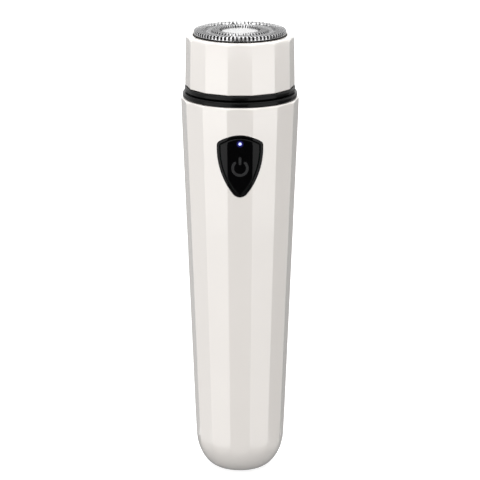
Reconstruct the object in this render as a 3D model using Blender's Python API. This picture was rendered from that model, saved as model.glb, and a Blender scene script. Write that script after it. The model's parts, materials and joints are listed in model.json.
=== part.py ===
"""Rechargeable single-head rotary shaver: a faceted, tapering handle with a round foot, a shield-shaped
power button, a two-step black neck, and a pull-off head with a floating slotted foil over a turning cutter.

Metres, +Z up. The origin is the centre of the flat foot. The button faces -Y. The drive line is the Z axis.
"""

import math

import bmesh
import bpy
from mathutils import Matrix, Vector

MM = 0.001

# ---------------------------------------------------------------- clearances
GAP = 0.3 * MM  # between hidden pieces that rest on each other
SEAM = 0.15 * MM  # between fitted pieces whose joint shows
RUNNING = 0.2 * MM  # between a moving piece and what guides it
SOLDERED = 0.1 * MM  # between a board and what is soldered to it

# ---------------------------------------------------------------- handle
FACETS = 14
EDGE_ROUND = 0.9 * MM
BODY_TOP_RADIUS = 18.6 * MM
BASE_MARGIN = 2.1 * MM  # from the chassis trough to the facets' corners at the foot
FOOT_RADIUS = 6.5 * MM
DOME_HEIGHT = 13.0 * MM
SHELL_WALL = 1.6 * MM
RIM_FILLET = 0.9 * MM

# ---------------------------------------------------------------- neck
FLANGE_STEP = 0.5 * MM
FLANGE_HEIGHT = 1.5 * MM
RING_ROUND = 0.45 * MM
SPLIT = 0.35 * MM
COLLAR_SKIRT = 6.7 * MM
COLLAR_WALL = 1.3 * MM
SPIGOT_HEIGHT = 6.15 * MM
SPIGOT_WALL = 1.9 * MM
DECK_WALL = 1.5 * MM
O_RING_SECTION = 1.0 * MM
O_RING_RISE = 3.2 * MM

# ---------------------------------------------------------------- head
FOIL_RADIUS = 14.4 * MM
HEAD_MARGIN = 2.55 * MM
HEAD_FLARE = 0.25 * MM
HEAD_HEIGHT = 16.1 * MM
HEAD_WALL = 1.3 * MM
HEAD_FILLET = 1.1 * MM
HEAD_LIP = 1.5 * MM
HEAD_LOW_EASE = 0.35 * MM
HEAD_RING_HEIGHT = 1.45 * MM
HEAD_RING_STEP = 0.3 * MM
SKIRT_WALL = 0.75 * MM
SKIRT_RISE = 9.3 * MM
FOIL_PROUD = 1.6 * MM
FLOAT_TRAVEL = 0.8 * MM

# ---------------------------------------------------------------- foil and its frame
FOIL_SHEET = 0.3 * MM
FOIL_SIDE = 1.0 * MM
FOIL_ROUND = 0.5 * MM
FOIL_DRAFT = 0.35 * MM
GROOVE_DEPTH = 1.1 * MM
GROOVE_INNER = 9.2 * MM
GROOVE_OUTER = 10.7 * MM
HUB_RECESS_RADIUS = 6.0 * MM
SLOT_COUNT = 26
SLOT_SHARE = 0.45
FRAME_WALL = 0.7 * MM
FRAME_OVER_FOIL = 0.1 * MM
FRAME_FLANGE = 1.35 * MM
FOIL_CENTRE_RADIUS = 1.0 * MM
CENTRE_CAP_THICK = 0.35 * MM
CENTRE_CAP_EDGE = 0.3 * MM
CENTRE_CAP_DIMPLE = 0.5 * MM

# ---------------------------------------------------------------- cutter
BLADE_HEIGHT = 2.0 * MM
BLADE_THICK = 0.45 * MM
BLADE_BASE = 0.4 * MM
BLADE_MARGIN = 0.25 * MM
BLADE_LEAN = 0.6 * MM
OUTER_BLADES = 15
INNER_BLADES = 11
CARRIER_DISC = 1.2 * MM
CARRIER_HUB_RADIUS = 4.3 * MM

# ---------------------------------------------------------------- blade retainer
RETAINER_RISE = 1.1 * MM
RETAINER_THICK = 1.3 * MM
RETAINER_RING = 2.2 * MM
RETAINER_BORE = 4.9 * MM
RETAINER_HUB_WALL = 1.5 * MM
SPOKE_HALF_WIDTH = 1.3 * MM
RETAINER_TABS = 3
TAB_ANGLE = 14.0
TWIST_ANGLE = 25.0
TAB_PLAY = 2.0

# ---------------------------------------------------------------- drive line
SHAFT_RADIUS = 1.0 * MM
SHAFT_RISE = 7.0 * MM
POST_RADIUS = 1.9 * MM
HUB_DISC_RADIUS = 3.4 * MM
HUB_DISC_THICK = 1.2 * MM
SPINDLE_RADIUS = 3.2 * MM
SPINDLE_TIP_RADIUS = 2.7 * MM
SPINDLE_TIP_TAPER = 0.5 * MM
SPRING_LENGTH = 3.2 * MM
SPRING_WIRE = 0.28 * MM
SPRING_TURNS = 4
SOCKET_DEPTH = 3.4 * MM
SEAL_RADIUS = 5.0 * MM

# ---------------------------------------------------------------- motor
MOTOR_RADIUS = 10.2 * MM
MOTOR_HALF_FLAT = 7.7 * MM
MOTOR_CAN_HEIGHT = 22.5 * MM
MOTOR_CAN_WALL = 0.9 * MM
MOTOR_CAP_HEIGHT = 2.2 * MM
MOTOR_BOSS_RADIUS = 3.0 * MM
MOTOR_BOSS_RISE = 1.5 * MM
ARMATURE_RADIUS = 6.0 * MM
ARMATURE_HEIGHT = 13.0 * MM
COMMUTATOR_RADIUS = 2.2 * MM
COMMUTATOR_HEIGHT = 3.2 * MM
POLES = 3
POLE_ANGLE = 96.0
POLE_NECK = 2.2 * MM
POLE_HALF_WEB = 1.1 * MM
POLE_SHOE = 1.2 * MM
AIR_GAP = 0.4 * MM
MAGNET_HEIGHT = 15.0 * MM
MAGNET_EDGE_GAP = 0.5 * MM
BUSH_WALL = 0.8 * MM
BRUSH_LENGTH = 2.3 * MM
BRUSH_HALF_WIDTH = 0.8 * MM
TERMINAL_INSET = 3.2 * MM
TERMINAL_HALF_WIDTH = 0.9 * MM
TERMINAL_HALF_THICK = 0.25 * MM
TERMINAL_LENGTH = 1.4 * MM
MOTOR_SCREW_REACH = 6.5 * MM

# ---------------------------------------------------------------- inner frame and battery
DECK_DROP = 3.5 * MM
CHASSIS_DECK = 2.0 * MM
TROUGH_WALL = 1.2 * MM
RIB = 2.0 * MM
WIRING_SPACE = 2.3 * MM
WIRE_NOTCH = 1.8 * MM
WIRE_RADIUS = 0.5 * MM
BATTERY_RADIUS = 7.0 * MM
BATTERY_LENGTH = 49.2 * MM
CELL_BEVEL = 0.5 * MM
NUB_RADIUS = 2.6 * MM
NUB_RISE = 0.5 * MM
TAB_THICK = 0.3 * MM
TAB_HALF_WIDTH = 2.0 * MM
TAB_REACH_BACK = 2.0 * MM
BOARD_SPACE = 1.9 * MM  # between the charging board and the chassis
BOSS_RADIUS = 2.0 * MM

# ---------------------------------------------------------------- screws
SCREW_RADIUS = 0.9 * MM
SCREW_HEAD_RADIUS = 1.7 * MM
SCREW_HEAD_HEIGHT = 0.8 * MM
SCREW_LENGTH = 6.0 * MM
BOARD_SCREW_LENGTH = 3.6 * MM

# ---------------------------------------------------------------- control board
BOARD_THICK = 1.2 * MM
BOARD_HALF_WIDTH = 8.5 * MM
BOARD_LENGTH = 56.0 * MM
SWITCH_SIDE = 4.5 * MM
SWITCH_HEIGHT = 1.5 * MM
PLUNGER_RADIUS = 1.1 * MM
PLUNGER_HEIGHT = 0.5 * MM
PLUNGER_WELL = 1.0 * MM
LED_HEIGHT = 0.6 * MM
LED_HALF_WIDTH = 0.8 * MM
LED_HALF_LENGTH = 0.5 * MM
CHIP_SIDE = 5.0 * MM
CHIP_HEIGHT = 1.0 * MM
CHIP_DROP = 8.0 * MM
CAPACITOR_RADIUS = 2.2 * MM
CAPACITOR_HEIGHT = 2.4 * MM
CAPACITOR_DROP = 9.0 * MM

# ---------------------------------------------------------------- power button
SHIELD_DROP = 8.5 * MM
SHIELD_HALF_WIDTH = 7.2 * MM
SHIELD_HEIGHT = 20.0 * MM
SHIELD_SHOULDER = 4.4 * MM
SHIELD_TOP_ARC = 10.85 * MM
SHIELD_CORNER = 1.5 * MM
SHIELD_TIP = 2.7 * MM
BEZEL_WIDTH = 0.75 * MM
BEZEL_DEPTH = 3.9 * MM
BEZEL_PROUD = 0.1 * MM
BUTTON_PROUD = 0.25 * MM
BUTTON_FLANGE = 0.9 * MM
BUTTON_TRAVEL = 0.4 * MM
ICON_DROP = 10.7 * MM
LENS_DROP = 2.75 * MM
LENS_RADIUS = 0.5 * MM
STEM_RADIUS = 1.5 * MM
GASKET_THICK = 0.8 * MM

# ---------------------------------------------------------------- charging port
PORT_HEIGHT = 24.0 * MM
PORT_RECESS_LENGTH = 13.0 * MM
PORT_RECESS_WIDTH = 6.0 * MM
PORT_RECESS_DEPTH = 1.1 * MM
SOCKET_LENGTH = 8.94 * MM
SOCKET_WIDTH = 3.26 * MM
SOCKET_REACH = 7.3 * MM
SOCKET_SHEET = 0.3 * MM
TONGUE_THICK = 0.7 * MM
TONGUE_LENGTH = 6.7 * MM
SOCKET_BACK_WALL = 1.0 * MM
PLUG_REACH = 0.8 * MM
CHARGE_BOARD_THICK = 1.0 * MM
CHARGE_BOARD_HALF_WIDTH = 5.5 * MM
CHARGE_BOARD_HEIGHT = 18.0 * MM
LEG_THICK = 1.6 * MM
LEG_DEPTH = 3.0 * MM

# ---------------------------------------------------------------- mesh fineness
ROUND_STEPS = 2 * FACETS
SMALL_STEPS = 16
FINE_ARC = 4
SPRING_STEPS = 10
SPRING_SIDES = 5

# ---------------------------------------------------------------- derived sizes
COS_HALF_FACET = math.cos(math.pi / FACETS)
TROUGH_INNER = MOTOR_RADIUS + GAP
TROUGH_OUTER = TROUGH_INNER + TROUGH_WALL
BODY_BASE_RADIUS = TROUGH_OUTER + BASE_MARGIN

CELL_SPACE = GAP + TAB_THICK + GAP
CELL_STACK = RIB + CELL_SPACE + BATTERY_LENGTH + CELL_SPACE
DRIVE_STACK = RIB + WIRING_SPACE + MOTOR_CAP_HEIGHT + MOTOR_CAN_HEIGHT + GAP + CHASSIS_DECK + DECK_DROP
HANDLE_HEIGHT = PORT_HEIGHT + CHARGE_BOARD_HEIGHT / 2 + BOARD_SPACE + CELL_STACK + DRIVE_STACK


def body_radius(z):
    """Corner radius of the handle's facets at height z."""
    return BODY_BASE_RADIUS + (BODY_TOP_RADIUS - BODY_BASE_RADIUS) * z / HANDLE_HEIGHT


def facet_distance(z):
    """Distance from the axis to the flat of a facet of the handle at height z."""
    return body_radius(z) * COS_HALF_FACET


def cavity_radius(z):
    return facet_distance(z) - SHELL_WALL


FLANGE_LOW = HANDLE_HEIGHT + SEAM
FLANGE_TOP = FLANGE_LOW + FLANGE_HEIGHT
FLANGE_RADIUS = BODY_TOP_RADIUS - FLANGE_STEP
HEAD_RING_LOW = FLANGE_TOP + SPLIT
HEAD_RING_TOP = HEAD_RING_LOW + HEAD_RING_HEIGHT
HEAD_LOW = HEAD_RING_TOP + SEAM
HEAD_TOP = HEAD_LOW + HEAD_HEIGHT
FOIL_TOP = HEAD_TOP + FOIL_PROUD

HEAD_TOP_RADIUS = FOIL_RADIUS + HEAD_MARGIN
HEAD_LOW_RADIUS = HEAD_TOP_RADIUS + HEAD_FLARE
HEAD_INNER = HEAD_TOP_RADIUS * COS_HALF_FACET - HEAD_WALL
FRAME_RADIUS = FOIL_RADIUS + FRAME_OVER_FOIL
HEAD_OPENING = FRAME_RADIUS + RUNNING
SKIRT_OUTER = HEAD_INNER - SEAM
SKIRT_INNER = SKIRT_OUTER - SKIRT_WALL
SKIRT_TOP = HEAD_RING_LOW + SKIRT_RISE
SPIGOT_RADIUS = SKIRT_INNER - GAP
TAB_REACH = (SKIRT_INNER + SKIRT_OUTER) / 2
SPIGOT_TOP = FLANGE_TOP + SPIGOT_HEIGHT
SPIGOT_INNER = SPIGOT_RADIUS - SPIGOT_WALL
O_RING_RADIUS = SKIRT_INNER - SEAM - O_RING_SECTION / 2

FOIL_LOW = FOIL_TOP - FOIL_SIDE
FRAME_TOP = FOIL_LOW - SEAM
FRAME_LOW = SKIRT_TOP + FLOAT_TRAVEL + GAP
BLADE_TOP = FOIL_TOP - FOIL_SHEET - SEAM
BLADE_LOW = BLADE_TOP - BLADE_HEIGHT
BLADE_BASE_LOW = BLADE_LOW - BLADE_BASE
CARRIER_TOP = BLADE_BASE_LOW - SEAM
RETAINER_LOW = SPIGOT_TOP + RETAINER_RISE
RETAINER_TOP = RETAINER_LOW + RETAINER_THICK
CARRIER_LOW = max(RETAINER_TOP, SKIRT_TOP) + FLOAT_TRAVEL + 2 * GAP

DECK_TOP = HANDLE_HEIGHT - DECK_DROP
DECK_LOW = DECK_TOP - CHASSIS_DECK
MOTOR_TOP = DECK_LOW - GAP
MOTOR_LOW = MOTOR_TOP - MOTOR_CAN_HEIGHT
MOTOR_CAP_LOW = MOTOR_LOW - MOTOR_CAP_HEIGHT
RIB_TOP = MOTOR_CAP_LOW - WIRING_SPACE
RIB_LOW = RIB_TOP - RIB
BATTERY_TOP = RIB_LOW - CELL_SPACE
BATTERY_LOW = BATTERY_TOP - BATTERY_LENGTH
CHASSIS_FLOOR = BATTERY_LOW - CELL_SPACE
CHASSIS_LOW = CHASSIS_FLOOR - RIB
TERMINAL_X = MOTOR_RADIUS - TERMINAL_INSET
SCREW_POST_REACH = SPIGOT_INNER - BOSS_RADIUS - GAP
SCREW_POST_TOP = SPIGOT_TOP - DECK_WALL - GAP

HUB_LOW = MOTOR_TOP + MOTOR_BOSS_RISE + GAP
HUB_TOP = HUB_LOW + HUB_DISC_THICK
SPINDLE_LOW = HUB_TOP + GAP + SPRING_LENGTH + GAP
SPINDLE_SHOULDER = RETAINER_TOP
SPINDLE_TOP = CARRIER_LOW + SOCKET_DEPTH - GAP
POST_TOP = SPIGOT_TOP - DECK_WALL
SHAFT_TOP = HUB_LOW + SHAFT_RISE
SHAFT_LOW = MOTOR_LOW - MOTOR_CAP_HEIGHT / 2

SHIELD_TOP = HANDLE_HEIGHT - SHIELD_DROP
SHIELD_MIDDLE = SHIELD_TOP - SHIELD_HEIGHT / 2
BEZEL_BACK = -facet_distance(SHIELD_MIDDLE) + BEZEL_DEPTH
BUTTON_FLANGE_FRONT = BEZEL_BACK + RUNNING
BUTTON_BACK = BUTTON_FLANGE_FRONT + BUTTON_FLANGE
ICON_HEIGHT = SHIELD_TOP - ICON_DROP
LENS_HEIGHT = SHIELD_TOP - LENS_DROP

BOARD_BACK = -MOTOR_HALF_FLAT - 3 * GAP
BOARD_FRONT = BOARD_BACK - BOARD_THICK
BOARD_TOP = DECK_LOW - GAP
BOARD_LOW = BOARD_TOP - BOARD_LENGTH
SWITCH_FRONT = BOARD_FRONT - SOLDERED - SWITCH_HEIGHT
PLUNGER_FRONT = SWITCH_FRONT - SOLDERED - PLUNGER_HEIGHT

PORT_FLOOR = facet_distance(PORT_HEIGHT) - PORT_RECESS_DEPTH
SOCKET_MOUTH = PORT_FLOOR - GAP
SOCKET_BACK = SOCKET_MOUTH - SOCKET_REACH
CHARGE_BOARD_FRONT = SOCKET_BACK - SOLDERED
CHARGE_BOARD_BACK = CHARGE_BOARD_FRONT - CHARGE_BOARD_THICK
CHARGE_BOARD_LOW = PORT_HEIGHT - CHARGE_BOARD_HEIGHT / 2
CHARGE_BOARD_TOP = PORT_HEIGHT + CHARGE_BOARD_HEIGHT / 2

# ---------------------------------------------------------------- materials
MATERIALS = {
    "white_gloss": ((0.86, 0.84, 0.81), 0.18, 0.0),
    "black_gloss": ((0.012, 0.012, 0.013), 0.15, 0.0),
    "black_matte": ((0.02, 0.02, 0.021), 0.5, 0.0),
    "steel": ((0.62, 0.63, 0.64), 0.25, 1.0),
    "bright_steel": ((0.85, 0.85, 0.86), 0.12, 1.0),
    "grey_plastic": ((0.32, 0.33, 0.34), 0.45, 0.0),
    "white_nylon": ((0.8, 0.79, 0.75), 0.4, 0.0),
    "rubber": ((0.03, 0.03, 0.03), 0.8, 0.0),
    "copper": ((0.72, 0.36, 0.2), 0.3, 1.0),
    "magnet": ((0.09, 0.09, 0.1), 0.6, 0.0),
    "battery_sleeve": ((0.05, 0.22, 0.5), 0.35, 0.0),
    "nickel": ((0.7, 0.68, 0.62), 0.3, 1.0),
    "board_green": ((0.02, 0.2, 0.09), 0.4, 0.0),
    "lens": ((0.75, 0.8, 1.0), 0.1, 0.0),
    "wire_red": ((0.6, 0.02, 0.02), 0.4, 0.0),
    "wire_black": ((0.02, 0.02, 0.02), 0.4, 0.0),
    "silicone_white": ((0.82, 0.8, 0.77), 0.6, 0.0),
}
SMOOTH_ANGLE = math.radians(30)


def material(name):
    """The named Principled material, made on first use."""
    found = bpy.data.materials.get(name)
    if found:
        return found
    colour, roughness, metallic = MATERIALS[name]
    made = bpy.data.materials.new(name)
    made.use_nodes = True
    shader = made.node_tree.nodes["Principled BSDF"]
    shader.inputs["Base Color"].default_value = (*colour, 1.0)
    shader.inputs["Roughness"].default_value = roughness
    shader.inputs["Metallic"].default_value = metallic
    return made


# ---------------------------------------------------------------- solids
def finish(name, bm, material_name):
    """Turns a bmesh into a named object with outward faces and smooth shading."""
    bmesh.ops.remove_doubles(bm, verts=bm.verts, dist=1e-7)
    bmesh.ops.recalc_face_normals(bm, faces=bm.faces)
    mesh = bpy.data.meshes.new(name)
    bm.to_mesh(mesh)
    bm.free()
    obj = bpy.data.objects.new(name, mesh)
    bpy.context.scene.collection.objects.link(obj)
    obj.data.materials.append(material(material_name))
    obj.data.shade_smooth()
    obj.data.set_sharp_from_angle(angle=SMOOTH_ANGLE)
    return obj


def loft(name, rings, material_name, looped=False):
    """A solid through rings of equally many points. Its ends are capped, or joined if it is looped."""
    bm = bmesh.new()
    rows = [[bm.verts.new(p) for p in ring] for ring in rings]
    count = len(rows[0])
    pairs = list(zip(rows, rows[1:]))
    if looped:
        pairs.append((rows[-1], rows[0]))
    for low, high in pairs:
        for i in range(count):
            j = (i + 1) % count
            bm.faces.new((low[i], low[j], high[j], high[i]))
    if not looped:
        bm.faces.new(rows[0])
        bm.faces.new(rows[-1])
    return finish(name, bm, material_name)


def circle(radius, z, steps=ROUND_STEPS, centre=(0.0, 0.0)):
    """A level circle. With ROUND_STEPS its first two points lie either side of the facets' first corner."""
    start = -math.pi / 2 + math.pi / FACETS - math.pi / steps
    return [
        (
            centre[0] + radius * math.cos(start + math.tau * i / steps),
            centre[1] + radius * math.sin(start + math.tau * i / steps),
            z,
        )
        for i in range(steps)
    ]


def turned(name, profile, material_name, steps=ROUND_STEPS, centre=(0.0, 0.0), solid=False):
    """A turned piece from (radius, height) points: a ring with a bore, or a solid one from end to end."""
    rings = [circle(radius, z, steps, centre) for radius, z in profile]
    return loft(name, rings, material_name, looped=not solid)


def rod(name, radius, low, high, material_name, steps=SMALL_STEPS, centre=(0.0, 0.0)):
    return turned(name, [(radius, low), (radius, high)], material_name, steps, centre, solid=True)


def rod_along_y(name, radius, start, end, x, z, material_name, steps=SMALL_STEPS):
    """A round rod from y = start to y = end."""
    rings = [
        [
            (x + radius * math.cos(math.tau * i / steps), y, z + radius * math.sin(math.tau * i / steps))
            for i in range(steps)
        ]
        for y in (start, end)
    ]
    return loft(name, rings, material_name)


def box(name, low, high, material_name):
    bm = bmesh.new()
    bmesh.ops.create_cube(bm, size=1.0)
    size = Vector(high) - Vector(low)
    bmesh.ops.scale(bm, vec=size, verts=bm.verts)
    bmesh.ops.translate(bm, vec=(Vector(low) + Vector(high)) / 2, verts=bm.verts)
    return finish(name, bm, material_name)


def prism_along_y(name, outline, start, end, material_name):
    """An (x, z) outline carried from y = start to y = end."""
    rings = [[(x, y, z) for x, z in outline] for y in (start, end)]
    return loft(name, rings, material_name)


def combine(obj, other, operation):
    """Applies a Boolean of the other object to this one, and removes the other."""
    modifier = obj.modifiers.new(operation.title(), "BOOLEAN")
    modifier.operation = operation
    modifier.solver = "EXACT"
    modifier.object = other
    graph = bpy.context.evaluated_depsgraph_get()
    mesh = bpy.data.meshes.new_from_object(obj.evaluated_get(graph))
    obj.modifiers.clear()
    obj.data = mesh
    bpy.data.objects.remove(other)
    obj.data.shade_smooth()
    obj.data.set_sharp_from_angle(angle=SMOOTH_ANGLE)
    return obj


def cut(obj, *cutters):
    for cutter in cutters:
        combine(obj, cutter, "DIFFERENCE")
    return obj


def join(obj, *others):
    for other in others:
        combine(obj, other, "UNION")
    return obj


def arc(centre, radius, start, end, steps):
    """Points of an arc in a plane, from one angle to another, in degrees."""
    return [
        (
            centre[0] + radius * math.cos(math.radians(start + (end - start) * i / steps)),
            centre[1] + radius * math.sin(math.radians(start + (end - start) * i / steps)),
        )
        for i in range(steps + 1)
    ]


# ---------------------------------------------------------------- faceted forms
def facet_section(radius, z, limit, offset=0.0):
    """One ring of the faceted section, offset outwards, its corners eased and kept within limit."""
    flat = radius * COS_HALF_FACET + offset
    round_centre = (flat - EDGE_ROUND) / COS_HALF_FACET
    half = 180.0 / FACETS
    ring = []
    for corner in range(FACETS):
        middle = -90.0 + half + corner * 2 * half
        centre = (
            round_centre * math.cos(math.radians(middle)),
            round_centre * math.sin(math.radians(middle)),
        )
        for x, y in arc(centre, EDGE_ROUND, middle - half, middle + half, 1):
            shrink = min(1.0, limit / math.hypot(x, y))
            ring.append((x * shrink, y * shrink, z))
    return ring


def dome_limit(z, top_radius):
    """Radius of the dome at height z: a quarter ellipse from the foot's edge up to the facets' corners."""
    share = max(0.0, 1.0 - z / DOME_HEIGHT)
    return FOOT_RADIUS + (top_radius - FOOT_RADIUS) * math.sqrt(max(0.0, 1.0 - share * share))


def fillet_limit(z, top, radius, fillet):
    """Radius left at height z by a fillet on a top edge."""
    rise = max(0.0, z - (top - fillet))
    return radius - fillet + math.sqrt(max(0.0, fillet * fillet - rise * rise))


def body_rings(offset=0.0):
    """Rings of the handle's outer form from the foot to the rim, grown by offset."""
    dome_corner = body_radius(DOME_HEIGHT)
    dome_heights = [DOME_HEIGHT * (1.0 - math.cos(math.radians(a))) for a in range(0, 91, 15)]
    rim_heights = [HANDLE_HEIGHT - RIM_FILLET * (1.0 - math.sin(math.radians(a))) for a in (0, 45, 90)]
    rings = []
    for z in dome_heights:
        rings.append(facet_section(body_radius(z), z, dome_limit(z, dome_corner) + offset, offset))
    for z in rim_heights:
        limit = fillet_limit(z, HANDLE_HEIGHT, body_radius(z), RIM_FILLET) + offset
        rings.append(facet_section(body_radius(z), z, limit, offset))
    return rings


def outer_form(offset):
    """The handle's outer form as a full solid, used to shape what lies flush with it."""
    return loft("outer_form", body_rings(offset), "white_gloss")


def keep_in_form(obj, offset):
    return combine(obj, outer_form(offset), "INTERSECT")


# ---------------------------------------------------------------- shield outline of the button
def shield_outline(inset, steps=FINE_ARC):
    """The shield in the XZ plane, made of seven arcs whose centres stay put when it is inset."""
    top_centre = (0.0, SHIELD_TOP - SHIELD_TOP_ARC)
    drop = SHIELD_HEIGHT - SHIELD_SHOULDER - SHIELD_TIP
    side_arc = (SHIELD_HALF_WIDTH**2 + drop**2 - SHIELD_TIP**2) / (2 * (SHIELD_HALF_WIDTH - SHIELD_TIP))
    side_centre = (SHIELD_HALF_WIDTH - side_arc, SHIELD_TOP - SHIELD_SHOULDER)
    tip_centre = (0.0, SHIELD_TOP - SHIELD_HEIGHT + SHIELD_TIP)
    corner = circles_meet(top_centre, SHIELD_TOP_ARC - SHIELD_CORNER, side_centre, side_arc - SHIELD_CORNER)
    top_angle = bearing(top_centre, corner)
    side_angle = bearing(side_centre, corner)
    tip_angle = bearing(side_centre, tip_centre)
    right = [
        *arc(top_centre, SHIELD_TOP_ARC - inset, 90.0, top_angle, steps),
        *arc(corner, SHIELD_CORNER - inset, top_angle, side_angle, steps // 2),
        *arc(side_centre, side_arc - inset, side_angle, tip_angle, 2 * steps),
        *arc(tip_centre, SHIELD_TIP - inset, tip_angle, -90.0, steps),
    ]
    points = [right[0]]
    for point in right[1:]:
        if math.dist(point, points[-1]) > 1e-6:
            points.append(point)
    left = [(-x, z) for x, z in reversed(points[1:-1])]
    return points + left


def circles_meet(a, a_radius, b, b_radius):
    """The right-hand upper point where two circles cross."""
    span = math.dist(a, b)
    along = (span**2 + a_radius**2 - b_radius**2) / (2 * span)
    across = math.sqrt(a_radius**2 - along**2)
    ux, uz = (b[0] - a[0]) / span, (b[1] - a[1]) / span
    found = [(a[0] + along * ux + s * across * uz, a[1] + along * uz - s * across * ux) for s in (1, -1)]
    return max(found)


def bearing(start, end):
    return math.degrees(math.atan2(end[1] - start[1], end[0] - start[0]))


def stadium(length, width, centre_z, steps=FINE_ARC):
    """An upright slot with round ends, in the XZ plane."""
    reach = (length - width) / 2
    return [
        *arc((0.0, centre_z + reach), width / 2, 0.0, 180.0, steps),
        *arc((0.0, centre_z - reach), width / 2, 180.0, 360.0, steps),
    ]


# ---------------------------------------------------------------- handle
def make_body_shell():
    inner = [
        facet_section(body_radius(z), z, BODY_TOP_RADIUS, -SHELL_WALL)
        for z in (HANDLE_HEIGHT, DOME_HEIGHT)
    ]
    corner = body_radius(DOME_HEIGHT) - SHELL_WALL
    for angle in (30, 60, 90):
        z = DOME_HEIGHT - (DOME_HEIGHT - SHELL_WALL) * math.sin(math.radians(angle))
        limit = FOOT_RADIUS + (corner - FOOT_RADIUS) * math.cos(math.radians(angle))
        inner.append(facet_section(body_radius(z), z, limit, -SHELL_WALL))
    shell = loft("body_shell", body_rings() + inner, "white_gloss")
    back = facet_distance(PORT_HEIGHT)
    cut(
        shell,
        prism_along_y("window", shield_outline(0.0), -2 * BODY_TOP_RADIUS, -TROUGH_OUTER, "white_gloss"),
        prism_along_y(
            "recess",
            stadium(PORT_RECESS_LENGTH, PORT_RECESS_WIDTH, PORT_HEIGHT),
            PORT_FLOOR,
            2 * back,
            "white_gloss",
        ),
        prism_along_y(
            "port",
            stadium(SOCKET_LENGTH + 2 * GAP, SOCKET_WIDTH + 2 * GAP, PORT_HEIGHT),
            SOCKET_BACK,
            2 * back,
            "white_gloss",
        ),
    )
    return shell


def rounded_step(radius, low, high, fillet):
    """Profile of a ring's outer side, with both edges rounded."""
    corner = radius - fillet
    return [
        *arc((corner, low + fillet), fillet, -90.0, 0.0, 1),
        *arc((corner, high - fillet), fillet, 0.0, 90.0, 1),
    ]


def make_neck_collar():
    skirt_low = HANDLE_HEIGHT - COLLAR_SKIRT
    skirt_outer = cavity_radius(skirt_low) - SEAM
    skirt_inner = skirt_outer - COLLAR_WALL
    groove_low = FLANGE_TOP + O_RING_RISE - O_RING_SECTION / 2 - SEAM
    groove_high = groove_low + O_RING_SECTION + 2 * SEAM
    groove_floor = O_RING_RADIUS - O_RING_SECTION / 2 - SEAM
    shoulder = HANDLE_HEIGHT - COLLAR_WALL
    profile = [
        (skirt_inner, skirt_low),
        (skirt_outer, skirt_low),
        (skirt_outer, FLANGE_LOW),
        *rounded_step(FLANGE_RADIUS, FLANGE_LOW, FLANGE_TOP, RING_ROUND),
        (SPIGOT_RADIUS, FLANGE_TOP),
        (SPIGOT_RADIUS, groove_low),
        (groove_floor, groove_low),
        (groove_floor, groove_high),
        (SPIGOT_RADIUS, groove_high),
        (SPIGOT_RADIUS, SPIGOT_TOP),
        (SEAL_RADIUS + SEAM, SPIGOT_TOP),
        (SEAL_RADIUS + SEAM, SPIGOT_TOP - DECK_WALL),
        (SPIGOT_INNER, SPIGOT_TOP - DECK_WALL),
        (SPIGOT_INNER, shoulder),
        (skirt_inner, shoulder),
    ]
    collar = turned("neck_collar", profile, "black_matte")
    for side in (-1, 1):
        hole = rod(
            "screw_hole",
            SCREW_RADIUS + RUNNING,
            SPIGOT_TOP - 2 * DECK_WALL,
            SPIGOT_TOP + DECK_WALL,
            "black_matte",
            centre=(0.0, side * SCREW_POST_REACH),
        )
        cut(collar, hole)
    return collar


def make_seals():
    section = arc((O_RING_RADIUS, FLANGE_TOP + O_RING_RISE), O_RING_SECTION / 2, 0.0, 300.0, 5)
    turned("neck_o_ring", section, "rubber")
    bore = SPINDLE_RADIUS + SEAM
    low = SPIGOT_TOP - DECK_WALL
    turned(
        "spindle_seal",
        [
            (SEAL_RADIUS, low),
            (SEAL_RADIUS, SPIGOT_TOP),
            (bore + SEAM, SPIGOT_TOP),
            (bore, SPIGOT_TOP - DECK_WALL / 2),
            (bore + SEAM, low),
        ],
        "rubber",
        steps=24,
    )


# ---------------------------------------------------------------- inner frame
def half_trough(low, high):
    """The rear half of a tube, open towards the control board."""
    outline = arc((0.0, 0.0), TROUGH_OUTER, 0.0, 180.0, 14)
    outline += arc((0.0, 0.0), TROUGH_INNER, 180.0, 0.0, 14)
    return loft("trough", [[(x, y, z) for x, y in outline] for z in (low, high)], "grey_plastic")


def cross_plate(low, high, front):
    """A plate across the trough, reaching forwards to y = front."""
    start = math.degrees(math.asin(front / TROUGH_OUTER))
    outline = arc((0.0, 0.0), TROUGH_OUTER - SEAM, start, 180.0 - start, 16)
    return loft("plate", [[(x, y, z) for x, y in outline] for z in (low, high)], "grey_plastic")


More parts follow.
